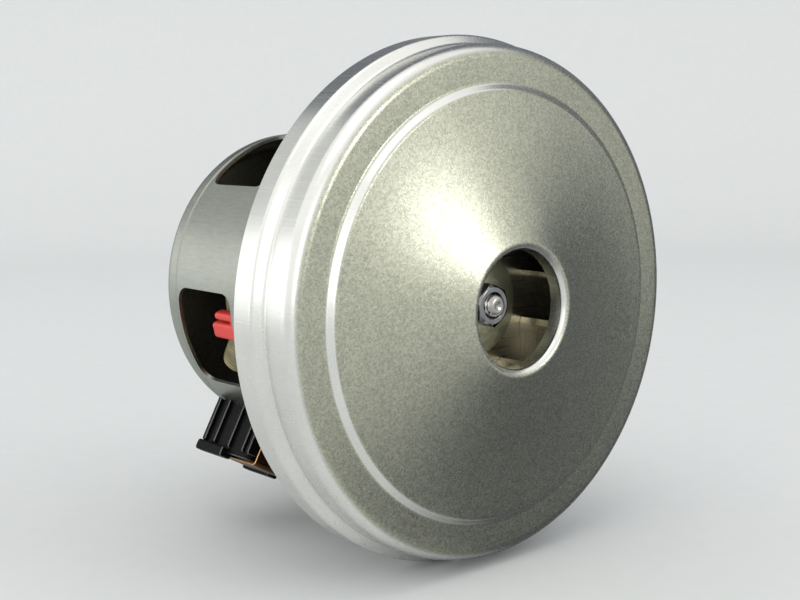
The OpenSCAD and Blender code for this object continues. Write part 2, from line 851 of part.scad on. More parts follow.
// Rotor pieces
module shaft() {
    color("#c4c7ca") lay() rotate_extrude() polygon([
        [0, rear_brg - shaft_tail],
        [shaft_r - shaft_edge, rear_brg - shaft_tail],
        [shaft_r, rear_brg - shaft_tail + shaft_edge],
        [shaft_r, rear_brg + brg_w],
        [shaft_body_r, rear_brg + brg_w],
        [shaft_body_r, front_brg],
        [shaft_r, front_brg],
        [shaft_r, clamp_s - shaft_step],
        [thread_r - fit, clamp_s - shaft_step],
        [thread_r - fit, shaft_front - shaft_edge],
        [thread_r - shaft_edge, shaft_front],
        [0, shaft_front]
    ]);
}
module slots2d(gap) {
    for (k = [0:slot_count - 1]) {
        rotate(k * 360 / slot_count) translate([slot_in + gap, gap - slot_w / 2])
            square([armature_r - slot_lid - slot_in - 2 * gap, slot_w - 2 * gap]);
    }
}
module lamination2d() {
    difference() {
        ring2d(shaft_body_r + fit, armature_r);
        slots2d(0);
        for (k = [0:slot_count - 1]) {
            rotate(k * 360 / slot_count) translate([armature_r - slot_lid - past, -slot_mouth / 2])
                square([slot_lid + 2 * past, slot_mouth]);
        }
    }
}
module armature_core() {
    color("#7b7f82") lay() at(stack_rear) linear_extrude(stack_len) lamination2d();
}
module armature_end_discs() {
    color("#d9cfae") lay() {
        at(stack_rear - disc_t) linear_extrude(disc_t) lamination2d();
        at(-stack_front) linear_extrude(disc_t) lamination2d();
    }
}
module armature_winding() {
    color("#9c5a24") lay() {
        at(stack_rear - disc_t - past) linear_extrude(stack_len + 2 * (disc_t + past)) slots2d(lie);
        for (s = [stack_rear - disc_t - end_turn / 2, disc_t - stack_front + end_turn / 2]) {
            rotate_extrude() translate([(turn_in + turn_out) / 2, s])
                round_box2d(turn_out - turn_in, end_turn, turn_round);
        }
    }
}
module commutator_hub() {
    color("#3a2a20") lay()
        tube(shaft_body_r + fit, comm_hub_r - fit, comm_front - comm_len - comm_tail, comm_front + comm_nose);
}
module commutator_bars() {
    bar_deg = 360 / bar_count;
    slit_deg = bar_slit / comm_r * 180 / PI;
    color("#c27a45") lay() for (k = [0:bar_count - 1]) {
        rotate([0, 0, k * bar_deg]) {
            at(comm_front - comm_len) linear_extrude(comm_len)
                arc2d(comm_hub_r, comm_r, (bar_deg - slit_deg) / 2);
            at(comm_front - riser_len) linear_extrude(riser_len)
                arc2d(comm_hub_r, riser_r, (bar_deg - slit_deg) / 3);
        }
    }
}
module spacer_collar() {
    color("#9ba0a3") lay()
        tube(brg_bore / 2, brg_bore / 2 + collar_t, front_brg + brg_w, hub_s - rear_washer_t);
}
module rear_clamp_washer() {
    color("#b7babc") lay() tube(brg_bore / 2, rear_washer_r, hub_s - rear_washer_t, hub_s);
}
module impeller_back_plate() {
    color("#cfd2d4") lay() tube(brg_bore / 2, impeller_r, hub_s, plate_s);
}
module impeller_blades() {
    color("#c6cacd") lay() intersection() {
        union() {
            for (k = [0:blade_count - 1]) {
                rotate([0, 0, frame_turn + blade_first_deg + k * 360 / blade_count]) at(plate_s)
                    linear_extrude(shroud_eye_s - plate_s)
                        vane2d(blade_in_r, blade_out_r, blade_wrap, blade_bend, impeller_sheet);
            }
        }
        rotate_extrude() polygon(concat(
            sheet_edge(shroud_path, impeller_sheet),
            [[0, shroud_eye_s - impeller_sheet], [0, hub_s], [impeller_r + past, hub_s]],
            [[impeller_r + past, shroud_rim_s - impeller_sheet]]
        ));
    }
}
module impeller_front_plate() {
    color("#cfd2d4") lay() sheet_round(shroud_path, impeller_sheet);
}
module clamp_washer() {
    color("#c9c7a4") lay() tube(brg_bore / 2, clamp_r, plate_s, clamp_s);
}
module lock_washer() {
    color("#a7abae") lay() tube(thread_r, nut_af / 2 - lock_inset, clamp_s, lock_s);
}
module impeller_nut() {
    color("#b9bdc0") lay() difference() {
        intersection() {
            at(lock_s) cylinder(r = nut_r, h = nut_h, $fn = 6);
            rotate_extrude() polygon([
                [0, lock_s],
                [nut_r, lock_s],
                [nut_r, nut_s - nut_edge],
                [nut_r - nut_chamfer, nut_s],
                [0, nut_s]
            ]);
        }
        at(lock_s - past) cylinder(r = thread_r, h = nut_h + 2 * past);
    }
}

// Brush gear, drawn with x along the brush, y across it and z along the shaft
module brush_place(k) {
    rotate([0, 0, brush_deg + 180 * k]) at(brush_s) children();
}
module block(x1, x2, half_y, half_z, r) {
    translate([x1, 0, 0]) rotate([90, 0, 90]) linear_extrude(x2 - x1) round_box2d(2 * half_y, 2 * half_z, r);
}
module brush_holder(k) {
    rear = -holder_len / 2;
    foot = frame_r - holder_foot;
    rib_end = holder_out - lip_h;
    color("#1d1e20") lay() brush_place(k) difference() {
        union() {
            difference() {
                union() {
                    block(foot, holder_out, holder_half - rib_t, holder_len / 2 - rib_side, holder_round);
                    for (z = rib_places) {
                        translate([(foot + rib_end) / 2, 0, rear + z - rib_w / 2]) linear_extrude(rib_w)
                            round_box2d(rib_end - foot, 2 * holder_half, rib_round);
                    }
                    for (y = [-1, 1]) {
                        translate([holder_out, y * (holder_half + lip_over - lip_w / 2), rear])
                            linear_extrude(holder_len - lip_from) round_box2d(2 * lip_h, lip_w, lip_round);
                    }
                }
                at(-holder_len) cylinder(r = frame_r + lie, h = 2 * holder_len);
            }
            block(neck_in, frame_r + holder_round, neck_w, neck_h, neck_round);
            for (z = [-1, 1]) {
                translate([frame_in - barb_at, barb_inset - neck_w, z * (neck_h + barb / 2) - barb / 2])
                    cube([barb_len, 2 * (neck_w - barb_inset), barb]);
            }
        }
        block(neck_in - past, holder_out + 2 * lip_h, tube_out_w + fit, tube_out_h + fit, tube_round + fit);
    }
}
module brush_holder_a() {
    brush_holder(0);
}
module brush_holder_b() {
    brush_holder(1);
}
module brush_tube(k) {
    color("#c9a24a") lay() brush_place(k) difference() {
        block(tube_in, holder_out, tube_out_w, tube_out_h, tube_round);
        block(tube_in - past, holder_out + past, tube_w, tube_h, lie);
    }
}
module brush_tube_a() {
    brush_tube(0);
}
module brush_tube_b() {
    brush_tube(1);
}
module carbon_brush(k) {
    color("#2f2f31") lay() brush_place(k) difference() {
        block(comm_r - past, brush_end, brush_w / 2, brush_h / 2, lie);
        at(-brush_h) cylinder(r = brush_face, h = 2 * brush_h);
    }
}
module carbon_brush_a() {
    carbon_brush(0);
}
module carbon_brush_b() {
    carbon_brush(1);
}
module brush_spring_a() {
    color("#b9bdbf") lay() brush_place(0) wire(spring_points, spring_faces, spring_wire / 2);
}
module brush_spring_b() {
    color("#b9bdbf") lay() brush_place(1) wire(spring_points, spring_faces, spring_wire / 2);
}
module brush_terminal(k) {
    color("#cf9a4e") lay() brush_place(k) rotate([90, 0, 0]) at(-strip_half) linear_extrude(2 * strip_half)
        polygon(concat(sheet_edge(strip_path, 0), flip(sheet_edge(strip_path, strip_t))));
}
module brush_terminal_a() {
    brush_terminal(0);
}
module brush_terminal_b() {
    brush_terminal(1);
}

fan_cover();
motor_frame();
front_bracket();
bracket_screws();
diffuser();
stator_core();
field_coil_a();
field_coil_b();
coil_former_front();
coil_former_rear();
front_bearing_outer_race();
front_bearing_shields();
front_bearing_inner_race();
front_bearing_balls();
front_bearing_cage();
rear_bearing_outer_race();
rear_bearing_shields();
rear_bearing_inner_race();
rear_bearing_balls();
rear_bearing_cage();
rear_wave_washer();
shaft();
armature_core();
armature_end_discs();
armature_winding();
commutator_hub();
commutator_bars();
spacer_collar();
rear_clamp_washer();
impeller_back_plate();
impeller_blades();
impeller_front_plate();
clamp_washer();
lock_washer();
impeller_nut();
brush_holder_a();
brush_holder_b();
brush_tube_a();
brush_tube_b();
carbon_brush_a();
carbon_brush_b();
brush_spring_a();
brush_spring_b();
brush_terminal_a();
brush_terminal_b();
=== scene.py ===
# %% [markdown]
# # Dressing a vacuum-cleaner motor
# The CAD model holds every piece of this motor at its real size and place. Here each piece that shows gets the
# fine shape and the finish that the real one has: drawn zinc-coated sheet, moulded nylon, wound copper wire.
# All sizes below are in millimetres, and one number turns them into Blender's metres.

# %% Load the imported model
import json
import math
import random

import bmesh
import bpy
from mathutils import Matrix, Vector
from mathutils.geometry import delaunay_2d_cdt

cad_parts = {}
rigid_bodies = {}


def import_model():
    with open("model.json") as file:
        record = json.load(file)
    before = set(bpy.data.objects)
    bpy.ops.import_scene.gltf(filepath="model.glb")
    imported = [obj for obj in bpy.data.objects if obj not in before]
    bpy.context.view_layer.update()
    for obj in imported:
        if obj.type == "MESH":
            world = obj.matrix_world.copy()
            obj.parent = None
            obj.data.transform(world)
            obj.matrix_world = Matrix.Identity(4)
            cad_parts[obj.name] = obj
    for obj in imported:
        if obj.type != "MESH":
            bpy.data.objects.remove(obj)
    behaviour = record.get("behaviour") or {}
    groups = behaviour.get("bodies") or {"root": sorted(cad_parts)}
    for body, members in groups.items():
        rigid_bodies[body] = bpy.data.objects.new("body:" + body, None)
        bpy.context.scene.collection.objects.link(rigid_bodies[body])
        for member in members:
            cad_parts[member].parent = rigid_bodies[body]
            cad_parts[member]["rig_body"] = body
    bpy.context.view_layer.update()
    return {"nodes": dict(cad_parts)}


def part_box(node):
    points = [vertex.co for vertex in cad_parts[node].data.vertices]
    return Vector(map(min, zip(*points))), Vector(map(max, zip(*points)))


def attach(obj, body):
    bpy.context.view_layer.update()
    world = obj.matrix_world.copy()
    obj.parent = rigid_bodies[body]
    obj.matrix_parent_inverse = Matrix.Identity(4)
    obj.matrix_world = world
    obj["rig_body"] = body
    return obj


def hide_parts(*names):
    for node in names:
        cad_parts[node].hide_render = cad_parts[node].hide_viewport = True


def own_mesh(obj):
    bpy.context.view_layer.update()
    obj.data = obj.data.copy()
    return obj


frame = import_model()
nodes = frame["nodes"]
MM = 0.001

# %% [markdown]
# ## Camera
# The camera stands where the motor is seen from: to the left of the inlet, a little above it. A long lens keeps the
# big round cover from bulging. The picture is 800 by 600, and 58.5 mm on a 36 mm wide sensor gives its angle.

# %% Camera
camera_at = Vector((-229.35, -245.1, 48.68)) * MM
looking = Vector((0.64734, 0.74861, -0.14330)).normalized()
tilted = Vector((0.75484, -0.65572, -0.01570))
to_right = (tilted - looking * tilted.dot(looking)).normalized()
to_top = to_right.cross(looking)

camera_lens = bpy.data.cameras.new("camera")
camera_lens.lens = 58.5
camera_lens.sensor_width = 36
camera_lens.clip_start = 0.01
camera = bpy.data.objects.new("camera", camera_lens)
bpy.context.scene.collection.objects.link(camera)
turned = Matrix((to_right, to_top, -looking)).transposed().to_4x4()
camera.matrix_world = Matrix.Translation(camera_at) @ turned
bpy.context.scene.camera = camera
bpy.context.scene.view_settings.view_transform = "Standard"
print("camera distance:", round(camera_at.length, 3), "m")

# %% [markdown]
# ## Helpers for nodes and colours
# Materials and Geometry Nodes trees are both node trees. One function gives a node its inputs and one adds a node with
# its options, so a tree reads from top to bottom. Colours are written as they look on a screen, in sRGB, and are
# turned to the linear numbers that the renderer works with.


# %% Node and colour helpers
def feed(tree, node, inputs):
    """Give a node its inputs: a socket is linked, anything else is set as a value."""
    for key, value in inputs.items():
        if isinstance(value, bpy.types.NodeSocket):
            tree.links.new(value, node.inputs[key])
        else:
            node.inputs[key].default_value = value


def add(tree, kind, inputs=None, **settings):
    """Add one node. settings are its options, inputs are values or sockets to link."""
    node = tree.nodes.new(kind)
    for key, value in settings.items():
        setattr(node, key, value)
    feed(tree, node, inputs or {})
    return node


def paint(code):
    """A colour such as #c0c0b8 as linear red, green, blue and alpha."""
    parts = [int(code[i:i + 2], 16) / 255 for i in (1, 3, 5)]
    return tuple(c / 12.92 if c <= 0.04045 else ((c + 0.055) / 1.055) ** 2.4 for c in parts) + (1,)


def start_finish(name, colour, rough, metal=0.0):
    """A new material, with its tree, its shader and its object coordinates in millimetres."""
    material = bpy.data.materials.new(name)
    material.use_nodes = True
    tree = material.node_tree
    shader = tree.nodes["Principled BSDF"]
    feed(tree, shader, {"Base Color": paint(colour), "Roughness": rough, "Metallic": metal})
    place = add(tree, "ShaderNodeTexCoord")
    mm = add(tree, "ShaderNodeVectorMath", {0: place.outputs["Object"], "Scale": 1 / MM}, operation="SCALE")
    return material, tree, shader, place, mm.outputs[0]


print("paint turns #808080 into", [round(c, 3) for c in paint("#808080")[:3]])

# %% [markdown]
# ## Zinc-coated sheet for the cover
# Hot-dip zinc freezes in small crystals, the spangle: grains about 0.4 mm across, each a little lighter
# or darker and each with its own gloss. On the flat face they show. Where the press drew the sheet into the side
# wall, the grains were wiped into fine streaks along the drawing direction, and the wall is smoother. On the cover
# the wall is also painted far paler than the face: a painted sheen for the light that its side wall catches.
# A Voronoi texture gives the grains, a stretched noise gives the streaks, and the surface's own direction chooses
# between them: the face looks along the shaft (Y) and the wall looks away from it.


# %% Zinc-coated sheet
def zinc_sheet(name, grain_dark, grain_light, wall_dark_and_sheen, wall_light_and_sheen, face_rough, wall_rough, streak):
    material, tree, shader, place, mm = start_finish(name, grain_light, face_rough, 1.0)
    grain_size = 0.42
    grains = add(tree, "ShaderNodeTexVoronoi", {"Vector": mm, "Scale": 1 / grain_size})
    grain = add(tree, "ShaderNodeSeparateColor", {0: grains.outputs["Color"]})
    cloud = add(tree, "ShaderNodeTexNoise", {"Vector": mm, "Scale": 1 / 14, "Detail": 3.0})
    streak_size = (1 / 0.5, 1 / streak, 1 / 0.5)
    stretched = add(tree, "ShaderNodeVectorMath", {0: mm, 1: streak_size}, operation="MULTIPLY")
    streaks = add(tree, "ShaderNodeTexNoise", {"Vector": stretched.outputs[0], "Scale": 1.0, "Detail": 2.0})
    way = add(tree, "ShaderNodeSeparateXYZ", {0: place.outputs["Normal"]})
    along = add(tree, "ShaderNodeMath", {0: way.outputs["Y"]}, operation="ABSOLUTE")
    face = add(tree, "ShaderNodeMapRange", {"Value": along.outputs[0], "From Min": 0.82, "From Max": 0.96})
    face_colour = add(tree, "ShaderNodeMix", {0: grain.outputs["Red"], 6: paint(grain_dark), 7: paint(grain_light)},
                      data_type="RGBA")
    # The wall tones; on the cover they are painted sheen, far paler than the face, for the light its side wall catches.
    wall_colour_and_sheen = add(tree, "ShaderNodeMix", {0: streaks.outputs["Fac"], 6: paint(wall_dark_and_sheen), 7: paint(wall_light_and_sheen)},
                      data_type="RGBA")
    colour = add(tree, "ShaderNodeMix", {0: face.outputs[0], 6: wall_colour_and_sheen.outputs[2], 7: face_colour.outputs[2]},
                 data_type="RGBA")
    shade = add(tree, "ShaderNodeMapRange", {"Value": cloud.outputs["Fac"], "From Min": 0.3, "From Max": 0.7,
                                             "To Min": 0.96, "To Max": 1.03})
    toned = add(tree, "ShaderNodeVectorMath", {0: colour.outputs[2], "Scale": shade.outputs[0]}, operation="SCALE")
    gloss_face = add(tree, "ShaderNodeMapRange", {"Value": grain.outputs["Green"], "To Min": face_rough - 0.06,
                                                  "To Max": face_rough + 0.06})
    gloss_wall = add(tree, "ShaderNodeMapRange", {"Value": streaks.outputs["Fac"], "From Min": 0.3, "From Max": 0.7,
                                                  "To Min": wall_rough - 0.02, "To Max": wall_rough + 0.03})
    gloss = add(tree, "ShaderNodeMix", {0: face.outputs[0], 2: gloss_wall.outputs[0], 3: gloss_face.outputs[0]})
    height = add(tree, "ShaderNodeMix", {0: face.outputs[0], 2: streaks.outputs["Fac"], 3: grain.outputs["Red"]})
    bump = add(tree, "ShaderNodeBump", {"Strength": 0.16, "Distance": 0.03 * MM, "Height": height.outputs[0]})
    feed(tree, shader, {"Base Color": toned.outputs[0], "Roughness": gloss.outputs[0], "Normal": bump.outputs[0]})
    return material


# The cover's wall tones (#dbdcd7, #e5e5e1) are painted sheen; the frame's wall keeps tones close to its face.
cover_zinc = zinc_sheet("hot_dip_zinc_on_pressed_steel_wall_sheen_painted", "#9b9c8d", "#b8b9a7", "#dbdcd7", "#e5e5e1", 0.30, 0.25, 30)
frame_zinc = zinc_sheet("hot_dip_zinc_on_drawn_steel", "#8d8f87", "#a3a59b", "#8f928b", "#acafa6", 0.36, 0.36, 3)
print("sheet finishes:", cover_zinc.name, frame_zinc.name)

# %% [markdown]
# ## Two tones in patches
# No real surface has one even colour. Most finishes below drift between two close tones, in patches whose size comes
# from how the piece was made. One function starts such a finish, and another lets a fine texture vary its gloss and
# raise it a little.


# %% Two-tone finish
def two_tones(name, tone_a, tone_b, rough, metal=0.0, patch=6.0, detail=5.0, low=0.0, high=1.0):
    """A finish with patches of two tones, patch mm in size; low and high sharpen their borders."""
    material, tree, shader, place, mm = start_finish(name, tone_a, rough, metal)
    patches = add(tree, "ShaderNodeTexNoise", {"Vector": mm, "Scale": 1 / patch, "Detail": detail}, name="patches")
    spread = add(tree, "ShaderNodeMapRange", {"Value": patches.outputs["Fac"], "From Min": low, "From Max": high})
    tones = add(tree, "ShaderNodeMix", {0: spread.outputs[0], 6: paint(tone_a), 7: paint(tone_b)}, data_type="RGBA",
                name="tones")
    feed(tree, shader, {"Base Color": tones.outputs[2]})
    return material, tree, shader, mm


def roughen(tree, shader, texture, smooth, rough, strength, deep):
    """A texture moves the roughness between smooth and rough, and raises the surface by deep mm."""
    gloss = add(tree, "ShaderNodeMapRange", {"Value": texture, "From Min": 0.3, "From Max": 0.7, "To Min": smooth,
                                             "To Max": rough})
    bump = add(tree, "ShaderNodeBump", {"Strength": strength, "Distance": deep * MM, "Height": texture})
    feed(tree, shader, {"Roughness": gloss.outputs[0], "Normal": bump.outputs[0]})


print("two-tone finish ready")

# %% [markdown]
# ## Moulded plastics
# The brush holders are black nylon, very slightly dimpled. Their bevelled edges get a paler, glossier finish, partly
# rubbed wear and partly a painted highlight. The coil formers are red polyester, a stiff plastic that stands the
# winding's heat. All are plain colours with a fine moulded grain and soft clouds of tone where the melt flowed.


# %% Moulded plastics
def moulded(name, deep, pale, rough, grit, mirror=0.5):
    material, tree, shader, mm = two_tones(name, deep, pale, rough, detail=4.0)
    grain = add(tree, "ShaderNodeTexNoise", {"Vector": mm, "Scale": 1 / grit, "Detail": 2.0})
    roughen(tree, shader, grain.outputs["Fac"], rough - 0.05, rough + 0.08, 0.2, 0.02)
    feed(tree, shader, {"IOR": 1.53, "Specular IOR Level": mirror})
    return material


black_nylon = moulded("moulded_black_nylon", "#0a0a0b", "#121213", 0.3, 0.35, 0.05)
# The holders' edge finish: a paler, glossier nylon, partly rubbed wear and partly a painted highlight.
nylon_edge = moulded("black_nylon_edge_wear_and_painted_highlight", "#1d1d1f", "#29292b", 0.24, 0.35, 1.0)
red_polyester = moulded("moulded_red_polyester", "#d22c28", "#e8463d", 0.34, 0.4)
phenolic = moulded("moulded_brown_phenolic", "#2e1b12", "#4a2d1e", 0.42, 0.3)
print("plastics:", black_nylon.name, red_polyester.name, phenolic.name)

# %% [markdown]
# ## Plain metals
# Brass strip, rolled aluminium, turned steel and plated nuts differ in colour, in gloss and in the direction of
# their fine lines. Each is a metal whose colour drifts a little between two tones, with lines that follow how it
# was made: rolled sheet has straight lines, a turned shaft has rings.


# %% Plain metals
def bare_metal(name, tone_a, tone_b, rough, line, patch, lines_deep=0.01):
    """line gives the length of the fine lines along each axis in mm."""
    material, tree, shader, mm = two_tones(name, tone_a, tone_b, rough, 1.0, patch, low=0.35, high=0.65)
    squeezed = add(tree, "ShaderNodeVectorMath", {0: mm, 1: tuple(1 / c for c in line)}, operation="MULTIPLY")
    lines = add(tree, "ShaderNodeTexNoise", {"Vector": squeezed.outputs[0], "Scale": 1.0, "Detail": 3.0})
    roughen(tree, shader, lines.outputs["Fac"], rough * 0.8, rough * 1.3, 0.3, lines_deep)
    return material


rolled_aluminium = bare_metal("rolled_aluminium_sheet", "#cbc6b4", "#b7b2a1", 0.3, (14, 0.4, 0.4), 9)
# The brass strip is darkened as painted shade, and its bevelled edges get a far paler brass, a painted highlight.
brass_strip = bare_metal("brass_strip_darkened_as_painted_shade", "#6e4c2c", "#5c3f24", 0.3, (0.4, 9, 0.4), 8)
brass_edge = bare_metal("brass_edge_painted_highlight", "#e6b98a", "#cf9c66", 0.2, (0.4, 9, 0.4), 3)
yellow_zinc = bare_metal("yellow_passivated_zinc", "#bcbda3", "#a9aa90", 0.36, (0.6, 0.6, 0.6), 6)
bright_zinc = bare_metal("bright_zinc_plate", "#8c8d8d", "#7b7d7f", 0.07, (0.5, 0.5, 0.5), 4)
turned_steel = bare_metal("turned_steel", "#b9b7b1", "#9c9a95", 0.22, (9, 0.12, 9), 4, 0.02)
bearing_steel = bare_metal("ground_bearing_steel", "#c6c8ca", "#b3b6b9", 0.14, (6, 0.15, 6), 6)
pressed_steel = bare_metal("pressed_mild_steel", "#8f9294", "#7c8083", 0.36, (0.5, 0.5, 10), 6)
spring_wire = bare_metal("drawn_spring_steel_wire", "#8e9092", "#77797b", 0.3, (0.4, 0.4, 0.4), 2)
bar_copper = bare_metal("turned_commutator_copper", "#b0663a", "#7d4528", 0.32, (5, 0.15, 5), 4, 0.02)
print("materials so far:", len(bpy.data.materials))

# %% [markdown]
# ## Laminations, wire, carbon and insulation
# The stator and the armature are stacks of thin sheet steel, so their sides show a line for every sheet. Winding
# wire is copper under a brown-gold enamel, which shines like varnish over metal. Brushes are pressed carbon, dull
# and speckled. The end discs are pressed fibre board.

# %% Laminated steel
SHEET_STEP = 0.65
stacked_steel, tree, shader, mm = two_tones(
    "stacked_steel_laminations", "#4a4e51", "#74787a", 0.45, 1.0, 3.0)
on_shaft = add(tree, "ShaderNodeSeparateXYZ", {0: mm})
sheets = add(tree, "ShaderNodeMath", {0: on_shaft.outputs["Y"], 1: SHEET_STEP}, operation="PINGPONG")
sheet_edge = add(tree, "ShaderNodeMapRange", {"Value": sheets.outputs[0], "From Max": 0.2, "To Min": 0.45,
                                              "To Max": 1.0})
sheet_tone = add(tree, "ShaderNodeVectorMath", {0: tree.nodes["tones"].outputs[2], "Scale": sheet_edge.outputs[0]},
                 operation="SCALE")
sheet_bump = add(tree, "ShaderNodeBump", {"Strength": 0.5, "Distance": 0.05 * MM, "Height": sheets.outputs[0]})
feed(tree, shader, {"Base Color": sheet_tone.outputs[0], "Normal": sheet_bump.outputs[0]})
print("laminations drawn every", SHEET_STEP, "mm")

# %% Enamelled wire
enamel_wire, tree, shader, mm = two_tones(
    "enamelled_copper_wire", "#6f6747", "#9d936a", 0.34, 0.2, 4.0, 3.0, 0.35, 0.65)
varnish = add(tree, "ShaderNodeTexNoise", {"Vector": mm, "Scale": 1 / 0.5, "Detail": 2.0})
varnish_bump = add(tree, "ShaderNodeBump", {"Strength": 0.15, "Distance": 0.02 * MM, "Height": varnish.outputs["Fac"]})
feed(tree, shader, {"Coat Weight": 0.5, "Coat Roughness": 0.18, "Normal": varnish_bump.outputs[0]})
print("wire finish:", enamel_wire.name)


# %% Carbon and fibre board
def speckled(name, dark, light, rough, speck):
    material, tree, shader, mm = two_tones(name, dark, light, rough, 0.0, speck, 6.0, 0.45, 0.7)
    specks = tree.nodes["patches"]
    bump = add(tree, "ShaderNodeBump", {"Strength": 0.3, "Distance": 0.02 * MM, "Height": specks.outputs["Fac"]})
    feed(tree, specks, {"Roughness": 0.7})
    feed(tree, shader, {"Normal": bump.outputs[0]})
    return material


pressed_carbon = speckled("pressed_carbon", "#1d1d1e", "#3b3b3d", 0.62, 0.4)
fibre_board = speckled("pressed_fibre_board", "#a3935f", "#cbbd8c", 0.75, 0.8)
print("dull finishes:", pressed_carbon.name, fibre_board.name)

# %% [markdown]
# ## Placing points round the shaft
# Everything on a motor is turned about one axis. A point is given by its radius, its angle round the shaft and its
# station s, the distance in front of the cover's rim edge, so the fan side is +s and the rear is -s.


# %% Points and pieces
def spot(radius, degrees, s):
    """A point round the shaft, in metres: degrees run from +X towards +Z, s is in front of the rim edge."""
    turn = math.radians(degrees)
    return Vector((radius * math.cos(turn), -s, radius * math.sin(turn))) * MM


def new_piece(name, points, faces, edges=()):
    mesh = bpy.data.meshes.new(name)
    mesh.from_pydata(points, list(edges), faces)
    piece = bpy.data.objects.new(name, mesh)
    bpy.context.scene.collection.objects.link(piece)
    return piece


def close_up(piece, sharp_deg=35):
    """Merge doubled points, turn all faces outwards and shade smooth between sharp edges."""
    bm = bmesh.new()
    bm.from_mesh(piece.data)
    bmesh.ops.remove_doubles(bm, verts=bm.verts, dist=1e-7)
    bmesh.ops.recalc_face_normals(bm, faces=bm.faces)
    bm.to_mesh(piece.data)
    bm.free()
    piece.data.shade_smooth()
    piece.data.set_sharp_from_angle(angle=math.radians(sharp_deg))
    return piece


def freeze(piece):
    """Turn a piece and its modifiers into a plain mesh."""
    bpy.context.view_layer.update()
    graph = bpy.context.evaluated_depsgraph_get()
    mesh = bpy.data.meshes.new_from_object(piece.evaluated_get(graph))
    mesh.name = piece.name
    piece.modifiers.clear()
    piece.data = mesh
    return piece


def soften(piece, width, sharp_deg=38, edge_slot=-1):
    """Round the sharp edges by width mm, and let the flat faces keep their shading."""
    edge = piece.modifiers.new("edge", "BEVEL")
    edge.width = width * MM
    edge.segments = 2
    edge.limit_method = "ANGLE"
    edge.angle_limit = math.radians(sharp_deg)
    edge.material = edge_slot
    if edge_slot >= 0:
        edge.limit_method = "WEIGHT"
        edge.use_clamp_overlap = False
    piece.modifiers.new("shading", "WEIGHTED_NORMAL").keep_sharp = True
    return freeze(piece)


def stand_for(piece, material, *names):
    """The piece takes the place of these CAD nodes, and moves with their body."""
    if len(piece.data.materials) < 2:
        piece.data.materials.clear()
        piece.data.materials.append(material)
    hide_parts(*names)
    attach(piece, nodes[names[0]]["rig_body"])
    return piece


print("a point on the rim's left edge:", [round(c, 4) for c in spot(67.5, 180, 0)])

# %% [markdown]
# ## Bent sheet
# The cover and the frame are sheets of even thickness with rounded bends. Their cross-section is drawn as a line of
# corners, each with a bend radius. Rounding the corners gives one side of the sheet, and the same corners moved
# sideways by the thickness give the other. Turning the closed outline round the shaft makes the piece.

# %% Bent sheet outline
BEND_STEPS = 10


def bent_line(corners, offset):
    """The rounded line through corners of (radius, s, bend radius), moved to its left by offset."""
    line = []
    for i, (r, s, bend) in enumerate(corners):
        here = Vector((r, s))
        go = (here - Vector(corners[i - 1][:2])).normalized() if i else None
        on = (Vector(corners[i + 1][:2]) - here).normalized() if i + 1 < len(corners) else None
        if go is None or on is None:
            way = on or go
            line.append(here + Vector((-way.y, way.x)) * offset)
            continue
        turn = math.atan2(go.x * on.y - go.y * on.x, go.dot(on))
        side = math.copysign(1, turn)
        left = Vector((-go.y, go.x))
        middle = here - go * bend * math.tan(abs(turn) / 2) + left * side * bend
        for k in range(BEND_STEPS + 1):
            arm = Matrix.Rotation(turn * k / BEND_STEPS, 2) @ left
            line.append(middle - arm * side * (bend - side * offset))
    return line


print("each bend has", BEND_STEPS, "steps")

# %% [markdown]
# ## A tree that turns an outline round the shaft
# A lathe or a spinning tool makes round pieces from one outline. The tree does the same: it lays out a flat grid with
# one row for each step of the turn, looks up the outline's radius and station for every column, and rolls the grid up
# round the shaft. Merging the doubled points closes the seam. The outline and the number of steps are its inputs.
# Every tree in this lesson starts with named inputs and ends by making its shape real and giving it a finish, so
# three small functions start, end and run one.


# %% Start, end and use of a tree
def new_tree(name, inputs, result):
    """A Geometry Nodes tree with named inputs and one result, and the node that brings the inputs in."""
    tree = bpy.data.node_groups.new(name, "GeometryNodeTree")
    for label, kind in inputs.items():
        tree.interface.new_socket(label, in_out="INPUT", socket_type="NodeSocket" + kind)
    tree.interface.new_socket(result, in_out="OUTPUT", socket_type="NodeSocketGeometry")
    return tree, add(tree, "NodeGroupInput")


def end_tree(tree, shape, finish):
    """Make the shape real, put its finish on and hand it out."""
    single = add(tree, "GeometryNodeRealizeInstances", {0: shape})
    coated = add(tree, "GeometryNodeSetMaterial", {0: single.outputs[0], "Material": finish})
    add(tree, "NodeGroupOutput", {0: coated.outputs[0]})


def run_tree(piece, tree, values):
    """Run a tree on a piece with the named inputs, and keep the result as a plain mesh."""
    modifier = piece.modifiers.new(tree.name, "NODES")
    modifier.node_group = tree
    keys = {item.name: item.identifier for item in tree.interface.items_tree if item.in_out == "INPUT"}
    for name, value in values.items():
        modifier[keys[name]] = value
    return freeze(piece)


print("trees can be started, ended and run")

# %% Lathe tree
lathe_tree, given = new_tree(
    "turn_outline", {"Outline": "Geometry", "Points": "Int", "Turns": "Int", "Finish": "Material"}, "Piece")
tree = lathe_tree
columns = add(tree, "ShaderNodeMath", {0: given.outputs["Points"], 1: 1.0}, operation="ADD")
steps = add(tree, "ShaderNodeMath", {0: given.outputs["Turns"], 1: 1.0}, operation="ADD")
grid = add(tree, "GeometryNodeMeshGrid", {"Vertices X": steps.outputs[0], "Vertices Y": columns.outputs[0]})
number = add(tree, "GeometryNodeInputIndex")
row_share = add(tree, "ShaderNodeMath", {0: number.outputs[0], 1: columns.outputs[0]}, operation="DIVIDE")
row = add(tree, "ShaderNodeMath", {0: row_share.outputs[0]}, operation="FLOOR")
column = add(tree, "ShaderNodeMath", {0: number.outputs[0], 1: columns.outputs[0]}, operation="MODULO")
around = add(tree, "ShaderNodeMath", {0: column.outputs[0], 1: given.outputs["Points"]}, operation="MODULO")
place = add(tree, "GeometryNodeInputPosition")
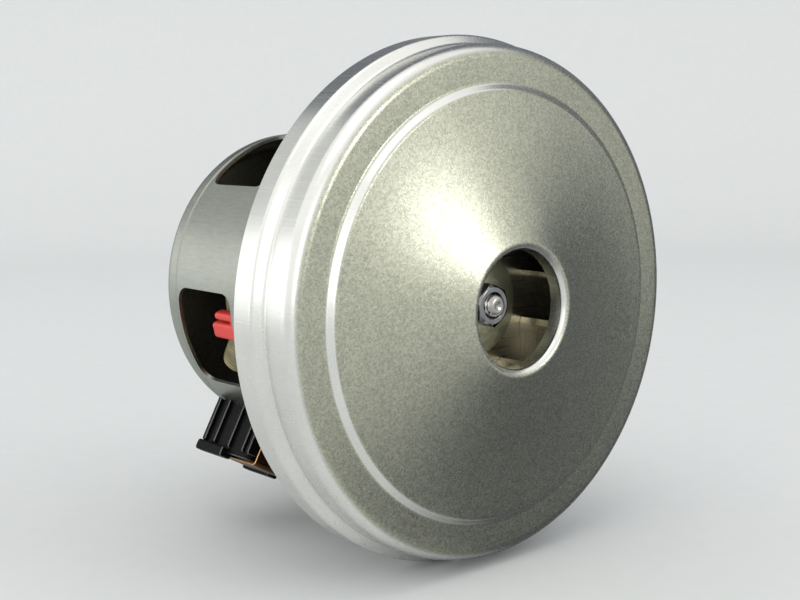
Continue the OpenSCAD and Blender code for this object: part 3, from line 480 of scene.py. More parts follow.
looked_up = add(tree, "GeometryNodeSampleIndex", {"Geometry": given.outputs["Outline"], "Index": around.outputs[0]},
                data_type="FLOAT_VECTOR", domain="POINT")
tree.links.new(place.outputs[0], looked_up.inputs["Value"])
radius_s = add(tree, "ShaderNodeSeparateXYZ", {0: looked_up.outputs[0]})
turn_share = add(tree, "ShaderNodeMath", {0: row.outputs[0], 1: given.outputs["Turns"]}, operation="DIVIDE")
turn = add(tree, "ShaderNodeMath", {0: turn_share.outputs[0], 1: 2 * math.pi}, operation="MULTIPLY")
turn_cos = add(tree, "ShaderNodeMath", {0: turn.outputs[0]}, operation="COSINE")
turn_sin = add(tree, "ShaderNodeMath", {0: turn.outputs[0]}, operation="SINE")
x = add(tree, "ShaderNodeMath", {0: radius_s.outputs["X"], 1: turn_cos.outputs[0]}, operation="MULTIPLY")
y = add(tree, "ShaderNodeMath", {0: radius_s.outputs["Y"], 1: -1.0}, operation="MULTIPLY")
z = add(tree, "ShaderNodeMath", {0: radius_s.outputs["X"], 1: turn_sin.outputs[0]}, operation="MULTIPLY")
rolled = add(tree, "ShaderNodeCombineXYZ", {"X": x.outputs[0], "Y": y.outputs[0], "Z": z.outputs[0]})
moved = add(tree, "GeometryNodeSetPosition", {"Geometry": grid.outputs[0], "Position": rolled.outputs[0]})
closed = add(tree, "GeometryNodeMergeByDistance", {"Geometry": moved.outputs[0], "Distance": 1e-6})
end_tree(tree, closed.outputs[0], given.outputs["Finish"])


def lathe(name, outline, turns, material):
    """Turn a closed outline of (radius, s) points round the shaft."""
    piece = new_piece(name, [(r * MM, s * MM, 0) for r, s in outline], [])
    run_tree(piece, lathe_tree, {"Points": len(outline), "Turns": turns, "Finish": material})
    return close_up(piece)


print("lathe tree:", len(lathe_tree.nodes), "nodes")

# %% [markdown]
# ## The fan cover
# One blank of 0.8 mm steel is drawn into a pan with a stepped rim, a flat face, a raised ring and a hollow cone that
# rises to the inlet, where the edge is rolled inwards. The cone's slope changes evenly from its foot to its neck, so
# it is a single very large bend. This is the piece that the eye rests on, so it is turned in fine steps.

# %% Fan cover
COVER_R, COVER_SHEET = 67.5, 0.8
BAND_R, FACE_S, RING_R, RING_RISE = 65.0, 18.0, 55.2, 1.6
EYE_R, LIP_R, EYE_TUBE = 14.8, 1.8, 3.0
FOOT, NECK = math.radians(4), math.radians(16.5)
ring_in = RING_R - RING_RISE
ring_top = FACE_S + RING_RISE
cone_r = (ring_in + EYE_R + 2.3) / 2
cone_s = ring_top + (ring_in - cone_r) * math.tan(FOOT)
lip_s = cone_s + (cone_r - EYE_R) * math.tan(NECK)
tube_s = lip_s - LIP_R * (math.tan(NECK) + 1 / math.cos(NECK)) - EYE_TUBE
cone_bend = 0.42 * (ring_in - EYE_R) / math.tan((NECK - FOOT) / 2)
cover_corners = [
    (COVER_R, 0, 0), (COVER_R, 6.5, 1.4), (BAND_R, 8.5, 1.4), (BAND_R, FACE_S, 3.5), (RING_R, FACE_S, 1.4),
    (ring_in, ring_top, 1.4), (cone_r, cone_s, cone_bend), (EYE_R, lip_s, LIP_R), (EYE_R, tube_s, 0),
]
cover_outline = bent_line(cover_corners, 0) + bent_line(cover_corners, COVER_SHEET)[::-1]
fan_cover = lathe("fan_cover_sheet", cover_outline, 288, cover_zinc)
soften(fan_cover, 0.12)
stand_for(fan_cover, cover_zinc, "fan_cover")
print("fan cover:", len(fan_cover.data.polygons), "faces")

# %% [markdown]
# ## The motor frame
# The frame is a deep-drawn cup with a bearing boss behind and a dished flange in front. Four rounded windows and two
# brush openings are punched through its wall. The wall is unrolled flat, the outlines of the openings are drawn on
# it, a triangulation fills what is left, and the sheet is rolled up again, once for each side. Every point then lies
# exactly on the cylinder, so the wall shades evenly right up to the openings, which a cut with a boolean spoils.

# %% Motor frame
FRAME_R, FRAME_SHEET, SEAM, COLUMNS = 43.0, 1.0, 40.0, 240
FRAME_REAR, BOSS_R, BOSS_REAR, END_R, FLANGE_R = -73.2, 12.02, -82.2, 42.7, 66.68
WINDOWS, WINDOW_DEG, WINDOW_LEN, WINDOW_S, WINDOW_CORNER = (16.7, 117.3, 196.7, 297.3), 38.5, 25.5, -51.25, 4
BRUSH_DEG, BRUSH_S, BRUSH_WIDE, BRUSH_LONG, BRUSH_CORNER = 60.5, -55.0, 11.1, 15.7, 1
frame_corners = [
    (0, BOSS_REAR, 0), (BOSS_R, BOSS_REAR, 1.4), (BOSS_R, FRAME_REAR, 1.4), (END_R, FRAME_REAR, 5), (END_R, -66.1, 0.3),
    (42.35, -65.4, 0.3), (FRAME_R, -64.7, 0.5), (FRAME_R, -5, 3), (57.5, -5, 1.4), (60.5, 0.3, 1.4),
    (FLANGE_R, 0.3, 1.4), (FLANGE_R, 5.5, 0),
]
BENDS_BEFORE_WALL = 6


def round_corners(width, height, corner):
    """The outline of a rectangle with round corners, about (0, 0)."""
    outline = []
    for quarter, (x, y) in enumerate(((1, 1), (-1, 1), (-1, -1), (1, -1))):
        for k in range(9):
            a = math.radians(90 * quarter + 90 * k / 8)
            outline.append((x * (width / 2 - corner) + corner * math.cos(a),
                            y * (height / 2 - corner) + corner * math.sin(a)))
    return outline


def fill_out(outline, step):
    """Add points so that no side of the outline is longer than step."""
    full = []
    for (x1, y1), (x2, y2) in zip(outline, outline[1:] + outline[:1]):
        pieces = max(1, math.ceil(math.hypot(x2 - x1, y2 - y1) / step))
        full += [(x1 + (x2 - x1) * k / pieces, y1 + (y2 - y1) * k / pieces) for k in range(pieces)]
    return full


def inside(x, y, outline):
    hits = 0
    for (x1, y1), (x2, y2) in zip(outline, outline[1:] + outline[:1]):
        if (y1 > y) != (y2 > y) and x < x1 + (y - y1) * (x2 - x1) / (y2 - y1):
            hits += 1
    return hits % 2 == 1


def near(x, y, outline, room):
    return any(math.hypot(x - px, y - py) < room for px, py in outline)


def band(base, count):
    """Faces of a closed band whose points come in pairs, one on each side of the sheet."""
    size = 2 * count
    return [[base + 2 * k, base + 2 * k + 1, base + (2 * k + 3) % size, base + (2 * k + 2) % size]
            for k in range(count)]


openings = []
window_wide = 2 * FRAME_R * math.sin(math.radians(WINDOW_DEG / 2))
for middles, middle_s, size in (
    (WINDOWS, WINDOW_S, (window_wide, WINDOW_LEN, WINDOW_CORNER)),
    ((BRUSH_DEG, BRUSH_DEG + 180), BRUSH_S, (BRUSH_WIDE, BRUSH_LONG, BRUSH_CORNER)),
):
    for middle in middles:
        openings.append([(math.degrees(math.asin(x / FRAME_R)) + middle, y + middle_s)
                         for x, y in round_corners(*size)])
print("openings in the wall:", len(openings))

# %% Motor frame wall, rolled up
outer_line, inner_line = bent_line(frame_corners, 0), bent_line(frame_corners, FRAME_SHEET)
rear_end = 1 + BENDS_BEFORE_WALL * (BEND_STEPS + 1)
ARC = math.radians(1) * FRAME_R
HOLE_STEP, ROWS, CLEAR = 0.9, 24, 0.5
low_s, high_s = outer_line[rear_end - 1].y, outer_line[rear_end].y
flat_holes = []
for opening in openings:
    shifted = [((deg - SEAM) % 360 * ARC, s) for deg, s in opening]
    flat_holes.append(fill_out(shifted, HOLE_STEP))
flat_points, flat_edges = [], []
for hole in flat_holes:
    base = len(flat_points)
    flat_points += [Vector(p) for p in hole]
    flat_edges += [(base + i, base + (i + 1) % len(hole)) for i in range(len(hole))]
for j in range(ROWS + 1):
    s = low_s + (high_s - low_s) * j / ROWS
    for k in range(COLUMNS + 1):
        x = k * 360 / COLUMNS * ARC
        if not any(inside(x, s, hole) or near(x, s, hole, CLEAR) for hole in flat_holes):
            flat_points.append(Vector((x, s)))
flat = delaunay_2d_cdt(flat_points, flat_edges, [], 0, 1e-5)
wall_points, wall_faces = flat[0], []
for face in flat[2]:
    cx = sum(wall_points[i].x for i in face) / 3
    cy = sum(wall_points[i].y for i in face) / 3
    if not any(inside(cx, cy, hole) for hole in flat_holes):
        wall_faces.append(list(face))
print("frame wall:", len(wall_faces), "triangles")

# %% Motor frame, put together
points, faces = [], []
for line, wall_r in ((outer_line, FRAME_R), (inner_line, FRAME_R - FRAME_SHEET)):
    base = len(points)
    points += [spot(wall_r, SEAM + p.x / ARC, p.y) for p in wall_points]
    faces += [[base + i for i in face] for face in wall_faces]
    for part in (line[:rear_end], line[rear_end:]):
        base, count = len(points), len(part)
        points += [spot(p.x, SEAM + k * 360 / COLUMNS, p.y) for k in range(COLUMNS) for p in part]
        for k in range(COLUMNS):
            a, b = base + k * count, base + (k + 1) % COLUMNS * count
            faces += [[a + i, a + i + 1, b + i + 1, b + i] for i in range(count - 1)]
faces += band(len(points), COLUMNS)
points += [spot(p.x, SEAM + k * 360 / COLUMNS, p.y) for k in range(COLUMNS) for p in (outer_line[-1], inner_line[-1])]
for hole in flat_holes:
    faces += band(len(points), len(hole))
    points += [spot(r, SEAM + x / ARC, s) for x, s in hole for r in (FRAME_R, FRAME_R - FRAME_SHEET)]
motor_frame = close_up(new_piece("motor_frame_sheet", points, faces))
soften(motor_frame, 0.12)
stand_for(motor_frame, frame_zinc, "motor_frame")
print("motor frame:", len(motor_frame.data.polygons), "faces")

# %% [markdown]
# ## Copies of CAD pieces with real edges
# Many pieces already have the right shape in the CAD model, but every real edge is a little rounded and catches the
# light. A copy of the mesh has its loose triangles merged, flat areas joined to single faces, and its edges bevelled.


# %% Dressed copies
def dressed(node, material, edge, edge_finish=None):
    """A merged copy of a CAD node with edges rounded by edge mm, which stands for the node."""
    source = nodes[node].data
    bm = bmesh.new()
    corners = [bm.verts.new(v.co) for v in source.vertices]
    for polygon in source.polygons:
        bm.faces.new([corners[i] for i in polygon.vertices])
    bmesh.ops.remove_doubles(bm, verts=bm.verts, dist=2e-6)
    bmesh.ops.dissolve_limit(bm, angle_limit=math.radians(0.5), verts=bm.verts, edges=bm.edges)
    # Sharp convex edges are weighted for the bevel. Where a piece has an edge finish, it goes on these bevels: a
    # painted highlight, on the nylon partly rubbed wear as well.
    rub = bm.edges.layers.float.new("bevel_weight_edge")
    for side in bm.edges:
        if side.is_manifold and side.is_convex and side.calc_face_angle() > math.radians(38):
            side[rub] = 1.0
    piece = new_piece(node + "_shaped", [], [])
    bm.to_mesh(piece.data)
    bm.free()
    piece.data.shade_smooth()
    piece.data.set_sharp_from_angle(angle=math.radians(30))
    piece.data.materials.append(material)
    if edge_finish:
        piece.data.materials.append(edge_finish)
    soften(piece, edge, edge_slot=1 if edge_finish else -1)
    return stand_for(piece, material, node)


dressed_faces = 0
for node, material, edge, *edge_finish in (
    ("brush_holder_a", black_nylon, 0.28, nylon_edge), ("brush_holder_b", black_nylon, 0.28, nylon_edge),
    ("brush_terminal_a", brass_strip, 0.2, brass_edge), ("brush_terminal_b", brass_strip, 0.2, brass_edge),
    ("brush_tube_a", brass_strip, 0.1), ("brush_tube_b", brass_strip, 0.1),
    ("coil_former_front", red_polyester, 0.25), ("coil_former_rear", red_polyester, 0.3),
    ("impeller_back_plate", rolled_aluminium, 0.15), ("impeller_blades", rolled_aluminium, 0.12),
    ("impeller_front_plate", rolled_aluminium, 0.15), ("clamp_washer", yellow_zinc, 0.2),
    ("lock_washer", bright_zinc, 0.15),
    ("carbon_brush_a", pressed_carbon, 0.2), ("carbon_brush_b", pressed_carbon, 0.2),
    ("stator_core", stacked_steel, 0.15), ("armature_core", stacked_steel, 0.12),
    ("armature_end_discs", fibre_board, 0.1), ("commutator_hub", phenolic, 0.2),
):
    dressed_faces += len(dressed(node, material, edge, *edge_finish).data.polygons)
print("dressed copies:", dressed_faces, "faces")

# %% [markdown]
# ## Finishes for the pieces that stay as CAD made them
# The bearings, the bridge and the diffuser sit deep inside. Their CAD meshes are fine as they are and only need the
# right finish.

# %% Finishes for inner pieces
for material, names in (
    (bearing_steel, ("front_bearing_outer_race", "front_bearing_inner_race", "front_bearing_balls",
                     "rear_bearing_outer_race", "rear_bearing_inner_race", "rear_bearing_balls")),
    (pressed_steel, ("front_bearing_shields", "rear_bearing_shields", "front_bearing_cage", "rear_bearing_cage",
                     "front_bracket")),
    (spring_wire, ("rear_wave_washer",)),
    (turned_steel, ("spacer_collar",)),
    (yellow_zinc, ("rear_clamp_washer",)),
    (black_nylon, ("diffuser",)),
):
    for name in names:
        nodes[name].data.materials.clear()
        nodes[name].data.materials.append(material)
print("inner pieces finished")

# %% [markdown]
# ## A tree that lays wire along a path
# Windings and springs are wire bent along a path. The path is a line of points worked out by a formula. A Geometry
# Nodes tree turns it into a curve, sweeps a small circle along it and gives it the wire's finish. The same tree
# serves every wire, with its radius and the number of its sides as inputs.

# %% Wire tree
wire_tree, given = new_tree(
    "wire_along_path", {"Path": "Geometry", "Wire radius": "Float", "Sides": "Int", "Finish": "Material"}, "Wire")
path_line = add(wire_tree, "GeometryNodeMeshToCurve", {"Mesh": given.outputs["Path"]})
section = add(wire_tree, "GeometryNodeCurvePrimitiveCircle",
              {"Resolution": given.outputs["Sides"], "Radius": given.outputs["Wire radius"]})
swept = add(wire_tree, "GeometryNodeCurveToMesh", {"Curve": path_line.outputs[0], "Profile Curve": section.outputs[0],
                                                   "Fill Caps": True})
smooth = add(wire_tree, "GeometryNodeSetShadeSmooth", {0: swept.outputs[0]})
end_tree(wire_tree, smooth.outputs[0], given.outputs["Finish"])


def wire_piece(name, paths, radius, sides, material):
    """One piece of wire, or several, along lists of points in metres."""
    points, edges = [], []
    for path in paths:
        edges += [(len(points) + i, len(points) + i + 1) for i in range(len(path) - 1)]
        points += path
    piece = new_piece(name, points, [], edges)
    return run_tree(piece, wire_tree, {"Wire radius": radius * MM, "Sides": sides, "Finish": material})


print("wire tree:", len(wire_tree.nodes), "nodes")

# %% [markdown]
# ## The field coils
# Each pole carries a coil of one long wire, wound in a ring that is bent round the pole like a saddle. The wire runs
# round a rounded rectangle on a cylinder. From turn to turn it moves on by one wire, up the inner side, across the
# outside and down the outer side of the ring, with a little wander, as a real winding has. At the rear corners,
# between the red lugs and the brush holders, nothing holds the turns in, and they bulge outwards.

# %% Field coils
POLE_DEG = 157.0
COIL_IN_R, COIL_OUT_R, COIL_MID_S = 24.0, 34.2, -26.0
HOLE_DEG, HOLE_HALF = 27.5, 15.6
RIM_DEG, RIM_HALF, COIL_ACROSS = 59.0, 27.2, 22.0
COIL_WIRE = 0.40
BULGE_OUT, BULGE_REAR = 5.0, 4.6
STEPS = 240


def saddle_point(turn, deg_half, s_half, radius, corner):
    """A point on a rounded rectangle laid round the shaft; turn runs from 0 to 1 for one loop."""
    w, h = math.radians(deg_half) * radius, s_half
    corner = min(corner, w * 0.95, h * 0.95)
    straight_w, straight_h, quarter = 2 * (w - corner), 2 * (h - corner), math.pi / 2 * corner
    length = turn % 1 * (2 * straight_w + 2 * straight_h + 4 * quarter)
    x, y, way = w, -(h - corner), 90.0
    for straight in (straight_h, straight_w, straight_h, straight_w):
        dx, dy = math.cos(math.radians(way)), math.sin(math.radians(way))
        if length <= straight:
            return x + dx * length, y + dy * length
        x, y, length = x + dx * straight, y + dy * straight, length - straight
        if length <= quarter:
            a = length / corner
            return (x - dy * corner + (dy * math.cos(a) + dx * math.sin(a)) * corner,
                    y + dx * corner + (-dx * math.cos(a) + dy * math.sin(a)) * corner)
        x, y, length = x + (dx - dy) * corner, y + (dy + dx) * corner, length - quarter
        way += 90
    return x, y


def coil_section(share):
    """Where the winding has got to in the ring's cross-section: (outwards 0..1, radius)."""
    rise, across = COIL_OUT_R - COIL_IN_R, COIL_ACROSS
    done = share * (2 * rise + across)
    if done < rise:
        return 0.0, COIL_IN_R + done
    if done < rise + across:
        out = (done - rise) / across
        return out, COIL_OUT_R + 0.35 * math.sin(math.pi * out)
    return 1.0, COIL_OUT_R - (done - rise - across)


def ease(value, low, high):
    """A soft step from 0 at low to 1 at high."""
    share = min(1.0, max(0.0, (value - low) / (high - low)))
    return share * share * (3 - 2 * share)


def coil_path(pole_deg, seed):
    wander = random.Random(seed)
    turns = int((2 * (COIL_OUT_R - COIL_IN_R) + COIL_ACROSS) / (1.85 * COIL_WIRE))
    drift = [wander.uniform(-0.12, 0.12) for _ in range(turns + 2)]
    path = []
    for i in range(turns * STEPS + 1):
        turn = i / STEPS
        out, radius = coil_section(turn / turns)
        lean = drift[int(turn)] * (1 - turn % 1) + drift[int(turn) + 1] * (turn % 1)
        deg_half = HOLE_DEG + (RIM_DEG - HOLE_DEG) * out
        s_half = HOLE_HALF + (RIM_HALF - HOLE_HALF) * out + lean
        x, y = saddle_point(turn, deg_half, s_half, radius, 4 + 6 * out)
        off = math.degrees(x / radius)
        bulge = out ** 1.5 * ease(abs(off) / deg_half, 0.7, 0.92) * ease(-y / s_half, 0.55, 0.85)
        radius += 0.5 * lean + BULGE_OUT * bulge
        path.append(spot(radius, pole_deg + off, COIL_MID_S + y - BULGE_REAR * bulge))
    return path


for letter, pole_deg in (("a", POLE_DEG + 180), ("b", POLE_DEG)):
    coil = wire_piece("field_coil_wire_" + letter, [coil_path(pole_deg, 7)], COIL_WIRE, 6, enamel_wire)
    stand_for(coil, enamel_wire, "field_coil_" + letter)
    print(coil.name, len(coil.data.polygons), "faces")

# %% [markdown]
# ## The armature winding
# In the armature the wire runs along a slot, crosses the end of the stack to a slot almost opposite, and comes back.
# The crossings pile up in a ball of wire at each end. Each crossing is a path that leaves its slot, swings in round
# the shaft and drops into the slot five places on.

# %% Armature winding
SLOTS, SPAN, STRANDS, ARM_WIRE = 12, 5, 7, 0.32
STACK_FRONT, STACK_REAR, END_TURN = -12.0, -40.0, 5.2
wander = random.Random(11)
crossings = []
for end_s, outwards in ((STACK_FRONT, 1), (STACK_REAR, -1)):
    for slot in range(SLOTS):
        for strand in range(STRANDS):
            first = 360 / SLOTS * slot + POLE_DEG + wander.uniform(-3, 3)
            last = first + 360 / SLOTS * SPAN + wander.uniform(-3, 3)
            high = 1.2 + (END_TURN - 1.2) * (strand + 0.6 * (slot % 3)) / (STRANDS + 0.2)
            low_r = 8.2 + 2.6 * wander.random() + 0.35 * strand
            slot_r = 12.0 + 0.7 * strand
            path = [spot(slot_r, first, end_s - outwards * 1.0), spot(slot_r, first, end_s + outwards * 0.7 * high)]
            for k in range(11):
                share = k / 10
                dip = math.sin(math.pi * share) ** 0.7
                path.append(spot(slot_r + (low_r - slot_r) * dip, first + (last - first) * share,
                                 end_s + outwards * (high * (0.85 + 0.15 * dip))))
            path += [spot(slot_r, last, end_s + outwards * 0.7 * high), spot(slot_r, last, end_s - outwards * 1.0)]
            crossings.append(path)
armature_winding = wire_piece("armature_wire", crossings, ARM_WIRE, 6, enamel_wire)
stand_for(armature_winding, enamel_wire, "armature_winding")
print("armature winding:", len(crossings), "crossings,", len(armature_winding.data.polygons), "faces")

# %% [markdown]
# ## Brush springs
# A coil spring in each brush tube presses the carbon on the commutator. As the brush wears or is pushed back, the
# spring shortens towards its fixed end at the terminal strip; here it is drawn at one length along the tube.

# %% Brush springs
SPRING_R, SPRING_WIRE, SPRING_FROM, SPRING_TO, CURLS, BRUSH_TRAVEL = 2.4, 0.3, 39.9, 55.6, 8, 6.0
for letter, deg in (("a", BRUSH_DEG), ("b", BRUSH_DEG + 180)):
    out, side = spot(1, deg, 0) / MM, spot(1, deg + 90, 0) / MM
    coiled = []
    for i in range(CURLS * 24 + 1):
        a = 2 * math.pi * i / 24
        tight = i / (CURLS * 24)
        along = SPRING_FROM + (SPRING_TO - SPRING_FROM) * tight
        coiled.append((out * along + side * SPRING_R * math.cos(a)) * MM
                      + Vector((0, -BRUSH_S + SPRING_R * math.sin(a), 0)) * MM)
    spring = wire_piece("brush_spring_wire_" + letter, [coiled], SPRING_WIRE, 8, spring_wire)
    stand_for(spring, spring_wire, "brush_spring_" + letter)
    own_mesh(spring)
    print(spring.name, len(spring.data.polygons), "faces")

# %% [markdown]
# ## Threads
# A screw thread is a groove that winds round a rod. The rod's surface is a grid of points round and along it, and
# each point's radius follows a saw-tooth that moves on by one pitch for every turn. The shaft's front end and the two
# bridge screws have one.


# %% Thread helper
def threaded(outline, thread_r, depth, pitch, s_low, s_high, around=48, rings_per_pitch=8):
    """Rows of points for a turned piece whose stretch from s_low to s_high carries a thread."""
    rows = []
    for (r1, s1), (r2, s2) in zip(outline, outline[1:]):
        rows.append([(r1, s1)] * around)
        if abs(r1 - thread_r) < 1e-6 and abs(r2 - thread_r) < 1e-6:
            steps = max(2, int(abs(s2 - s1) / pitch * rings_per_pitch))
            for j in range(1, steps):
                s = s1 + (s2 - s1) * j / steps
                ring = []
                for k in range(around):
                    phase = (s / pitch - k / around) % 1
                    cut = depth * (1 - abs(2 * phase - 1)) if s_low < s < s_high else 0
                    ring.append((thread_r - cut, s))
                rows.append(ring)
    rows.append([outline[-1]] * around)
    return rows


def rows_to_piece(name, rows, centres=(Vector(),)):
    """Rows of (radius, s) points, closed round the shaft or round each of several axes beside it."""
    around = len(rows[0])
    points, faces = [], []
    for centre in centres:
        base = len(points)
        points += [spot(r, 360 * k / around, s) + centre for row in rows for k, (r, s) in enumerate(row)]
        for j in range(len(rows) - 1):
            for k in range(around):
                a, b = base + j * around + k, base + j * around + (k + 1) % around
                faces.append((a, b, b + around, a + around))
    return close_up(new_piece(name, points, faces), 50)


print("thread helper ready")

# %% Shaft
shaft_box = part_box("shaft")
SHAFT_REAR, SHAFT_FRONT = -shaft_box[1].y / MM, -shaft_box[0].y / MM
JOURNAL_R, CORE_R, CORE_REAR, CORE_FRONT, BOLT_R, BOLT_S, POINT = 3.98, 5.0, -72.8, -2.5, 2.98, 9.3, 0.8
shaft_outline = [
    (0, SHAFT_REAR), (JOURNAL_R - 0.5, SHAFT_REAR), (JOURNAL_R, SHAFT_REAR + 0.5), (JOURNAL_R, CORE_REAR),
    (CORE_R, CORE_REAR), (CORE_R, CORE_FRONT), (JOURNAL_R, CORE_FRONT), (JOURNAL_R, BOLT_S), (BOLT_R, BOLT_S),
    (BOLT_R, SHAFT_FRONT - POINT), (2.2, SHAFT_FRONT), (0.9, SHAFT_FRONT), (0, SHAFT_FRONT - POINT),
]
shaft = rows_to_piece("shaft_turned", threaded(shaft_outline, BOLT_R, 0.5, 1.0, BOLT_S + 0.3, SHAFT_FRONT - 0.6))
stand_for(shaft, turned_steel, "shaft")
print("shaft:", round(SHAFT_FRONT - SHAFT_REAR, 1), "mm long,", len(shaft.data.polygons), "faces")

# %% [markdown]
# ## The impeller nut
# A plated hexagon nut, 10 mm across its flats. A cone is turned on each end of the hexagon bar, so the flats end in
# curved edges and the face is a circle. The bore is countersunk where the thread starts.

# %% Impeller nut
nut_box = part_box("impeller_nut")
NUT_REAR, NUT_FRONT = -nut_box[1].y / MM, -nut_box[0].y / MM
NUT_FLAT, NUT_FACE, NUT_BORE, SINK, AROUND = 5.0, 4.6, 3.02, (0.45, 0.4), 96
CONE_FALL = math.tan(math.radians(30))
hexagon = [NUT_FLAT / math.cos(math.radians((360 * k / AROUND - POLE_DEG) % 60 - 30)) for k in range(AROUND)]
nut_rows = [
    [(NUT_BORE, NUT_REAR + SINK[1])] * AROUND, [(NUT_BORE + SINK[0], NUT_REAR)] * AROUND,
    [(NUT_FACE, NUT_REAR)] * AROUND,
    [(r, NUT_REAR + (r - NUT_FACE) * CONE_FALL) for r in hexagon],
    [(r, NUT_FRONT - (r - NUT_FACE) * CONE_FALL) for r in hexagon],
    [(NUT_FACE, NUT_FRONT)] * AROUND, [(NUT_BORE + SINK[0], NUT_FRONT)] * AROUND,
    [(NUT_BORE, NUT_FRONT - SINK[1])] * AROUND, [(NUT_BORE, NUT_REAR + SINK[1])] * AROUND,
]
nut = rows_to_piece("impeller_nut_turned", nut_rows)
nut.data.set_sharp_from_angle(angle=math.radians(20))
soften(nut, 0.08, 18)
stand_for(nut, bright_zinc, "impeller_nut")
print("impeller nut:", len(nut.data.polygons), "faces")

# %% Bridge screws
SCREW_CIRCLE, THREAD_R, THREAD_DEEP, PITCH = 50.0, 2.0, 0.35, 0.7
screw_outline = [(0, -10.0), (1.6, -10.0), (THREAD_R, -9.4), (THREAD_R, -2.5), (3.3, -2.5), (3.5, -2.2), (3.5, -0.7),
                 (3.0, -0.1), (0, -0.1)]
screw_rows = threaded(screw_outline, THREAD_R, THREAD_DEEP, PITCH, -9.6, -4.0, 32)
screw_axes = [spot(SCREW_CIRCLE, deg, 0) for deg in (POLE_DEG - 90, POLE_DEG + 90)]
bridge_screws = rows_to_piece("bridge_screws_threaded", screw_rows, screw_axes)
stand_for(bridge_screws, bright_zinc, "bracket_screws")
print("bridge screws:", len(bridge_screws.data.polygons), "faces")

# %% [markdown]
# ## The commutator
# Copper bars stand side by side round a brown moulded hub, each with a hook that holds the winding's wire. One bar is
# drawn and bevelled, and a Geometry Nodes tree sets it round the shaft.

# %% Ring tree
ring_tree, given = new_tree("set_round_shaft", {"One": "Geometry", "Count": "Int", "Finish": "Material"}, "All")
places = add(ring_tree, "GeometryNodePoints", {"Count": given.outputs["Count"]})
number = add(ring_tree, "GeometryNodeInputIndex")
share = add(ring_tree, "ShaderNodeMath", {0: number.outputs[0], 1: given.outputs["Count"]}, operation="DIVIDE")
turn = add(ring_tree, "ShaderNodeMath", {0: share.outputs[0], 1: -2 * math.pi}, operation="MULTIPLY")
about_y = add(ring_tree, "ShaderNodeCombineXYZ", {"Y": turn.outputs[0]})
copies = add(ring_tree, "GeometryNodeInstanceOnPoints", {"Points": places.outputs[0], "Instance": given.outputs["One"],
                                                         "Rotation": about_y.outputs[0]})
end_tree(ring_tree, copies.outputs[0], given.outputs["Finish"])
print("ring tree:", len(ring_tree.nodes), "nodes")

# %% Commutator bars
BARS, COMM_R, COMM_IN, COMM_FRONT, COMM_LEN = 24, 12.0, 9.4, -47.5, 15.0
half_bar = 180 / BARS - math.degrees(0.3 / COMM_R)
side_view = [(COMM_IN, COMM_FRONT - COMM_LEN), (COMM_R, COMM_FRONT - COMM_LEN), (COMM_R, COMM_FRONT - 3.2),
             (13.2, COMM_FRONT - 2.6), (13.6, COMM_FRONT - 1.4), (13.2, COMM_FRONT - 0.2), (COMM_R, COMM_FRONT),
             (COMM_IN, COMM_FRONT)]
bar_points, bar_faces = [], []
across = 5
for k in range(across):
    deg = half_bar * (2 * k / (across - 1) - 1)
    bar_points += [spot(r, deg * (0.6 if r > COMM_R else 1), s) for r, s in side_view]
count = len(side_view)
for k in range(across - 1):
    a, b = k * count, (k + 1) * count
    bar_faces += [(a + i, a + (i + 1) % count, b + (i + 1) % count, b + i) for i in range(count)]
bar_faces += [tuple(range(count)), tuple(range((across - 1) * count, across * count))[::-1]]
commutator = close_up(new_piece("commutator_ring", bar_points, bar_faces))
soften(commutator, 0.12)
run_tree(commutator, ring_tree, {"Count": BARS, "Finish": bar_copper})
commutator.data.transform(Matrix.Rotation(math.radians(-POLE_DEG), 4, "Y"))
stand_for(commutator, bar_copper, "commutator_bars")
print("commutator:", BARS, "bars,", len(commutator.data.polygons), "faces")

# %% [markdown]
# ## Floor, backdrop and light
# The motor stands on its rim on a plain pale sheet that curves up behind it, as in a small photo studio. Most of the
# light comes from the room: one large bright side to the front left, as from a wide window, which fades to grey on
# the right. A window lamp on that side brightens the rim, one small lamp in front gives the bright patch beside the
# inlet, a strip behind lights the frame, and a soft box above grounds the motor. Shiny sheet mirrors the floor in
# front of it, so there the floor is dimmed for mirrored rays only, like a grey card laid before the motor.

# %% Floor and backdrop
paper, tree, shader, mm = two_tones("matt_pale_paper", "#cfd1d2", "#d4d6d7", 0.9)
CARD_TONE, CARD_AHEAD, CARD_FRONT, CARD_LEFT = "#6f727a", (0.45, 0.9, 0), (-140.0, -60.0), (-40.0, 10.0)
ahead = add(tree, "ShaderNodeVectorMath", {0: mm, 1: CARD_AHEAD}, operation="DOT_PRODUCT")
floor_spot = add(tree, "ShaderNodeSeparateXYZ", {0: mm})
front, left = [add(tree, "ShaderNodeMapRange", {"Value": value, "From Min": low, "From Max": high})
               for value, (low, high) in ((ahead.outputs["Value"], CARD_FRONT), (floor_spot.outputs["X"], CARD_LEFT))]
card = add(tree, "ShaderNodeMath", {0: front.outputs[0], 1: left.outputs[0]}, operation="MULTIPLY")
ray = add(tree, "ShaderNodeLightPath")
mirrored = add(tree, "ShaderNodeMath", {0: card.outputs[0], 1: ray.outputs["Is Glossy Ray"]}, operation="MULTIPLY")
card_tone = add(tree, "ShaderNodeMix", {0: mirrored.outputs[0], 6: tree.nodes["tones"].outputs[2], 7: paint(CARD_TONE)},
                data_type="RGBA")
feed(tree, shader, {"Base Color": card_tone.outputs[2], "Specular IOR Level": 0.1})
FLOOR_Z, HALF_WIDE, NEAR, FAR, SWEEP_R, TOP = -67.7, 4500, -6000, 700, 500, 2500
level = Vector((looking.x, looking.y, 0)).normalized()
aside = level.cross(Vector((0, 0, 1)))
sweep = [(NEAR, FLOOR_Z), (FAR, FLOOR_Z)]
sweep += [(FAR + SWEEP_R * math.sin(math.radians(a)), FLOOR_Z + SWEEP_R * (1 - math.cos(math.radians(a))))
          for a in range(5, 91, 5)]
sweep.append((FAR + SWEEP_R, TOP))
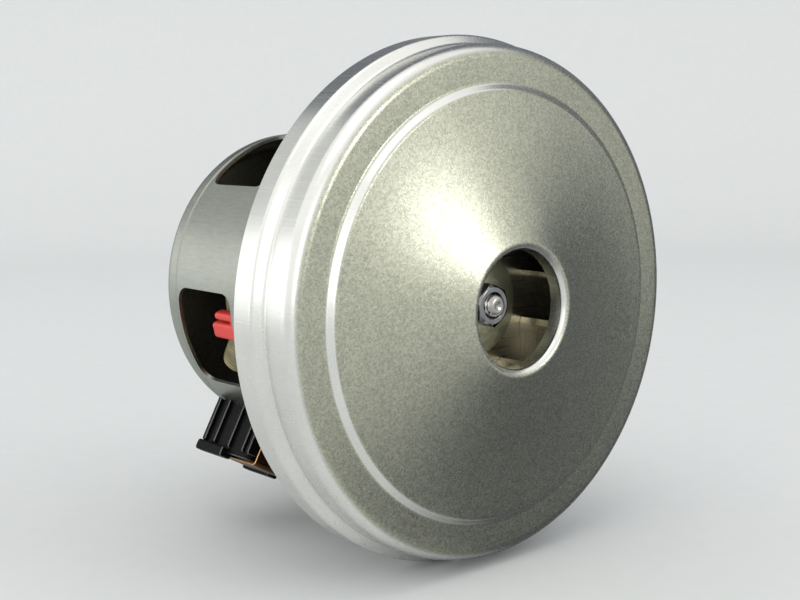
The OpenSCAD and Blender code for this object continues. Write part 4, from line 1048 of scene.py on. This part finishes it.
points = [(level * along + aside * side * HALF_WIDE + Vector((0, 0, z))) * MM for along, z in sweep for side in (-1, 1)]
faces = [(2 * i, 2 * i + 1, 2 * i + 3, 2 * i + 2) for i in range(len(sweep) - 1)]
backdrop = new_piece("paper_backdrop", points, faces)
backdrop.data.shade_smooth()
backdrop.data.materials.append(paper)
print("backdrop:", len(faces), "strips")

# %% Lamps
# Each lamp looks at the motor from a direction. Distance and sizes are in metres, power is in watts.
for name, direction, distance, wide, tall, power in (
    ("front_spot", (0.375, -0.899, 0.226), 1.1, 0.26, 0.26, 1.5),
    ("left_window", (-0.62, -0.74, 0.26), 1.3, 0.45, 0.6, 1.0),
    ("rear_left_strip", (-0.66, 0.74, 0.12), 1.0, 1.4, 0.4, 1.2),
    ("top_box", (-0.25, -0.15, 1.0), 1.3, 0.9, 0.9, 2.2),
):
    lamp = bpy.data.lights.new(name, "AREA")
    lamp.shape = "RECTANGLE"
    lamp.size, lamp.size_y, lamp.energy = wide, tall, power
    holder = bpy.data.objects.new(name, lamp)
    bpy.context.scene.collection.objects.link(holder)
    aim = Vector(direction).normalized()
    across = Vector((0, 0, 1)).cross(aim).normalized()
    turned = Matrix((across, aim.cross(across), aim)).transposed().to_4x4()
    holder.matrix_world = Matrix.Translation(aim * distance) @ turned
print("lamps:", len(bpy.data.lights))

# %% Room light
WINDOW_WAY, DIM, BRIGHT = (-0.70, -0.58, 0.42), 0.24, 1.2
world = bpy.data.worlds.new("studio_room")
bpy.context.scene.world = world
world.use_nodes = True
tree = world.node_tree
toward = add(tree, "ShaderNodeTexCoord")
window_side = add(tree, "ShaderNodeVectorMath", {0: toward.outputs["Generated"], 1: WINDOW_WAY},
                  operation="DOT_PRODUCT")
daylight = add(tree, "ShaderNodeMapRange", {"Value": window_side.outputs["Value"], "From Min": -0.48, "From Max": 0.12},
               interpolation_type="SMOOTHSTEP")
level_of_light = add(tree, "ShaderNodeMapRange", {"Value": daylight.outputs[0], "To Min": DIM, "To Max": BRIGHT})
tint = add(tree, "ShaderNodeMix", {0: daylight.outputs[0], 6: paint("#dbe4f2"), 7: paint("#fcfcfa")}, data_type="RGBA")
feed(tree, tree.nodes["Background"], {"Color": tint.outputs[2], "Strength": level_of_light.outputs[0]})
print("room light from", DIM, "to", BRIGHT)
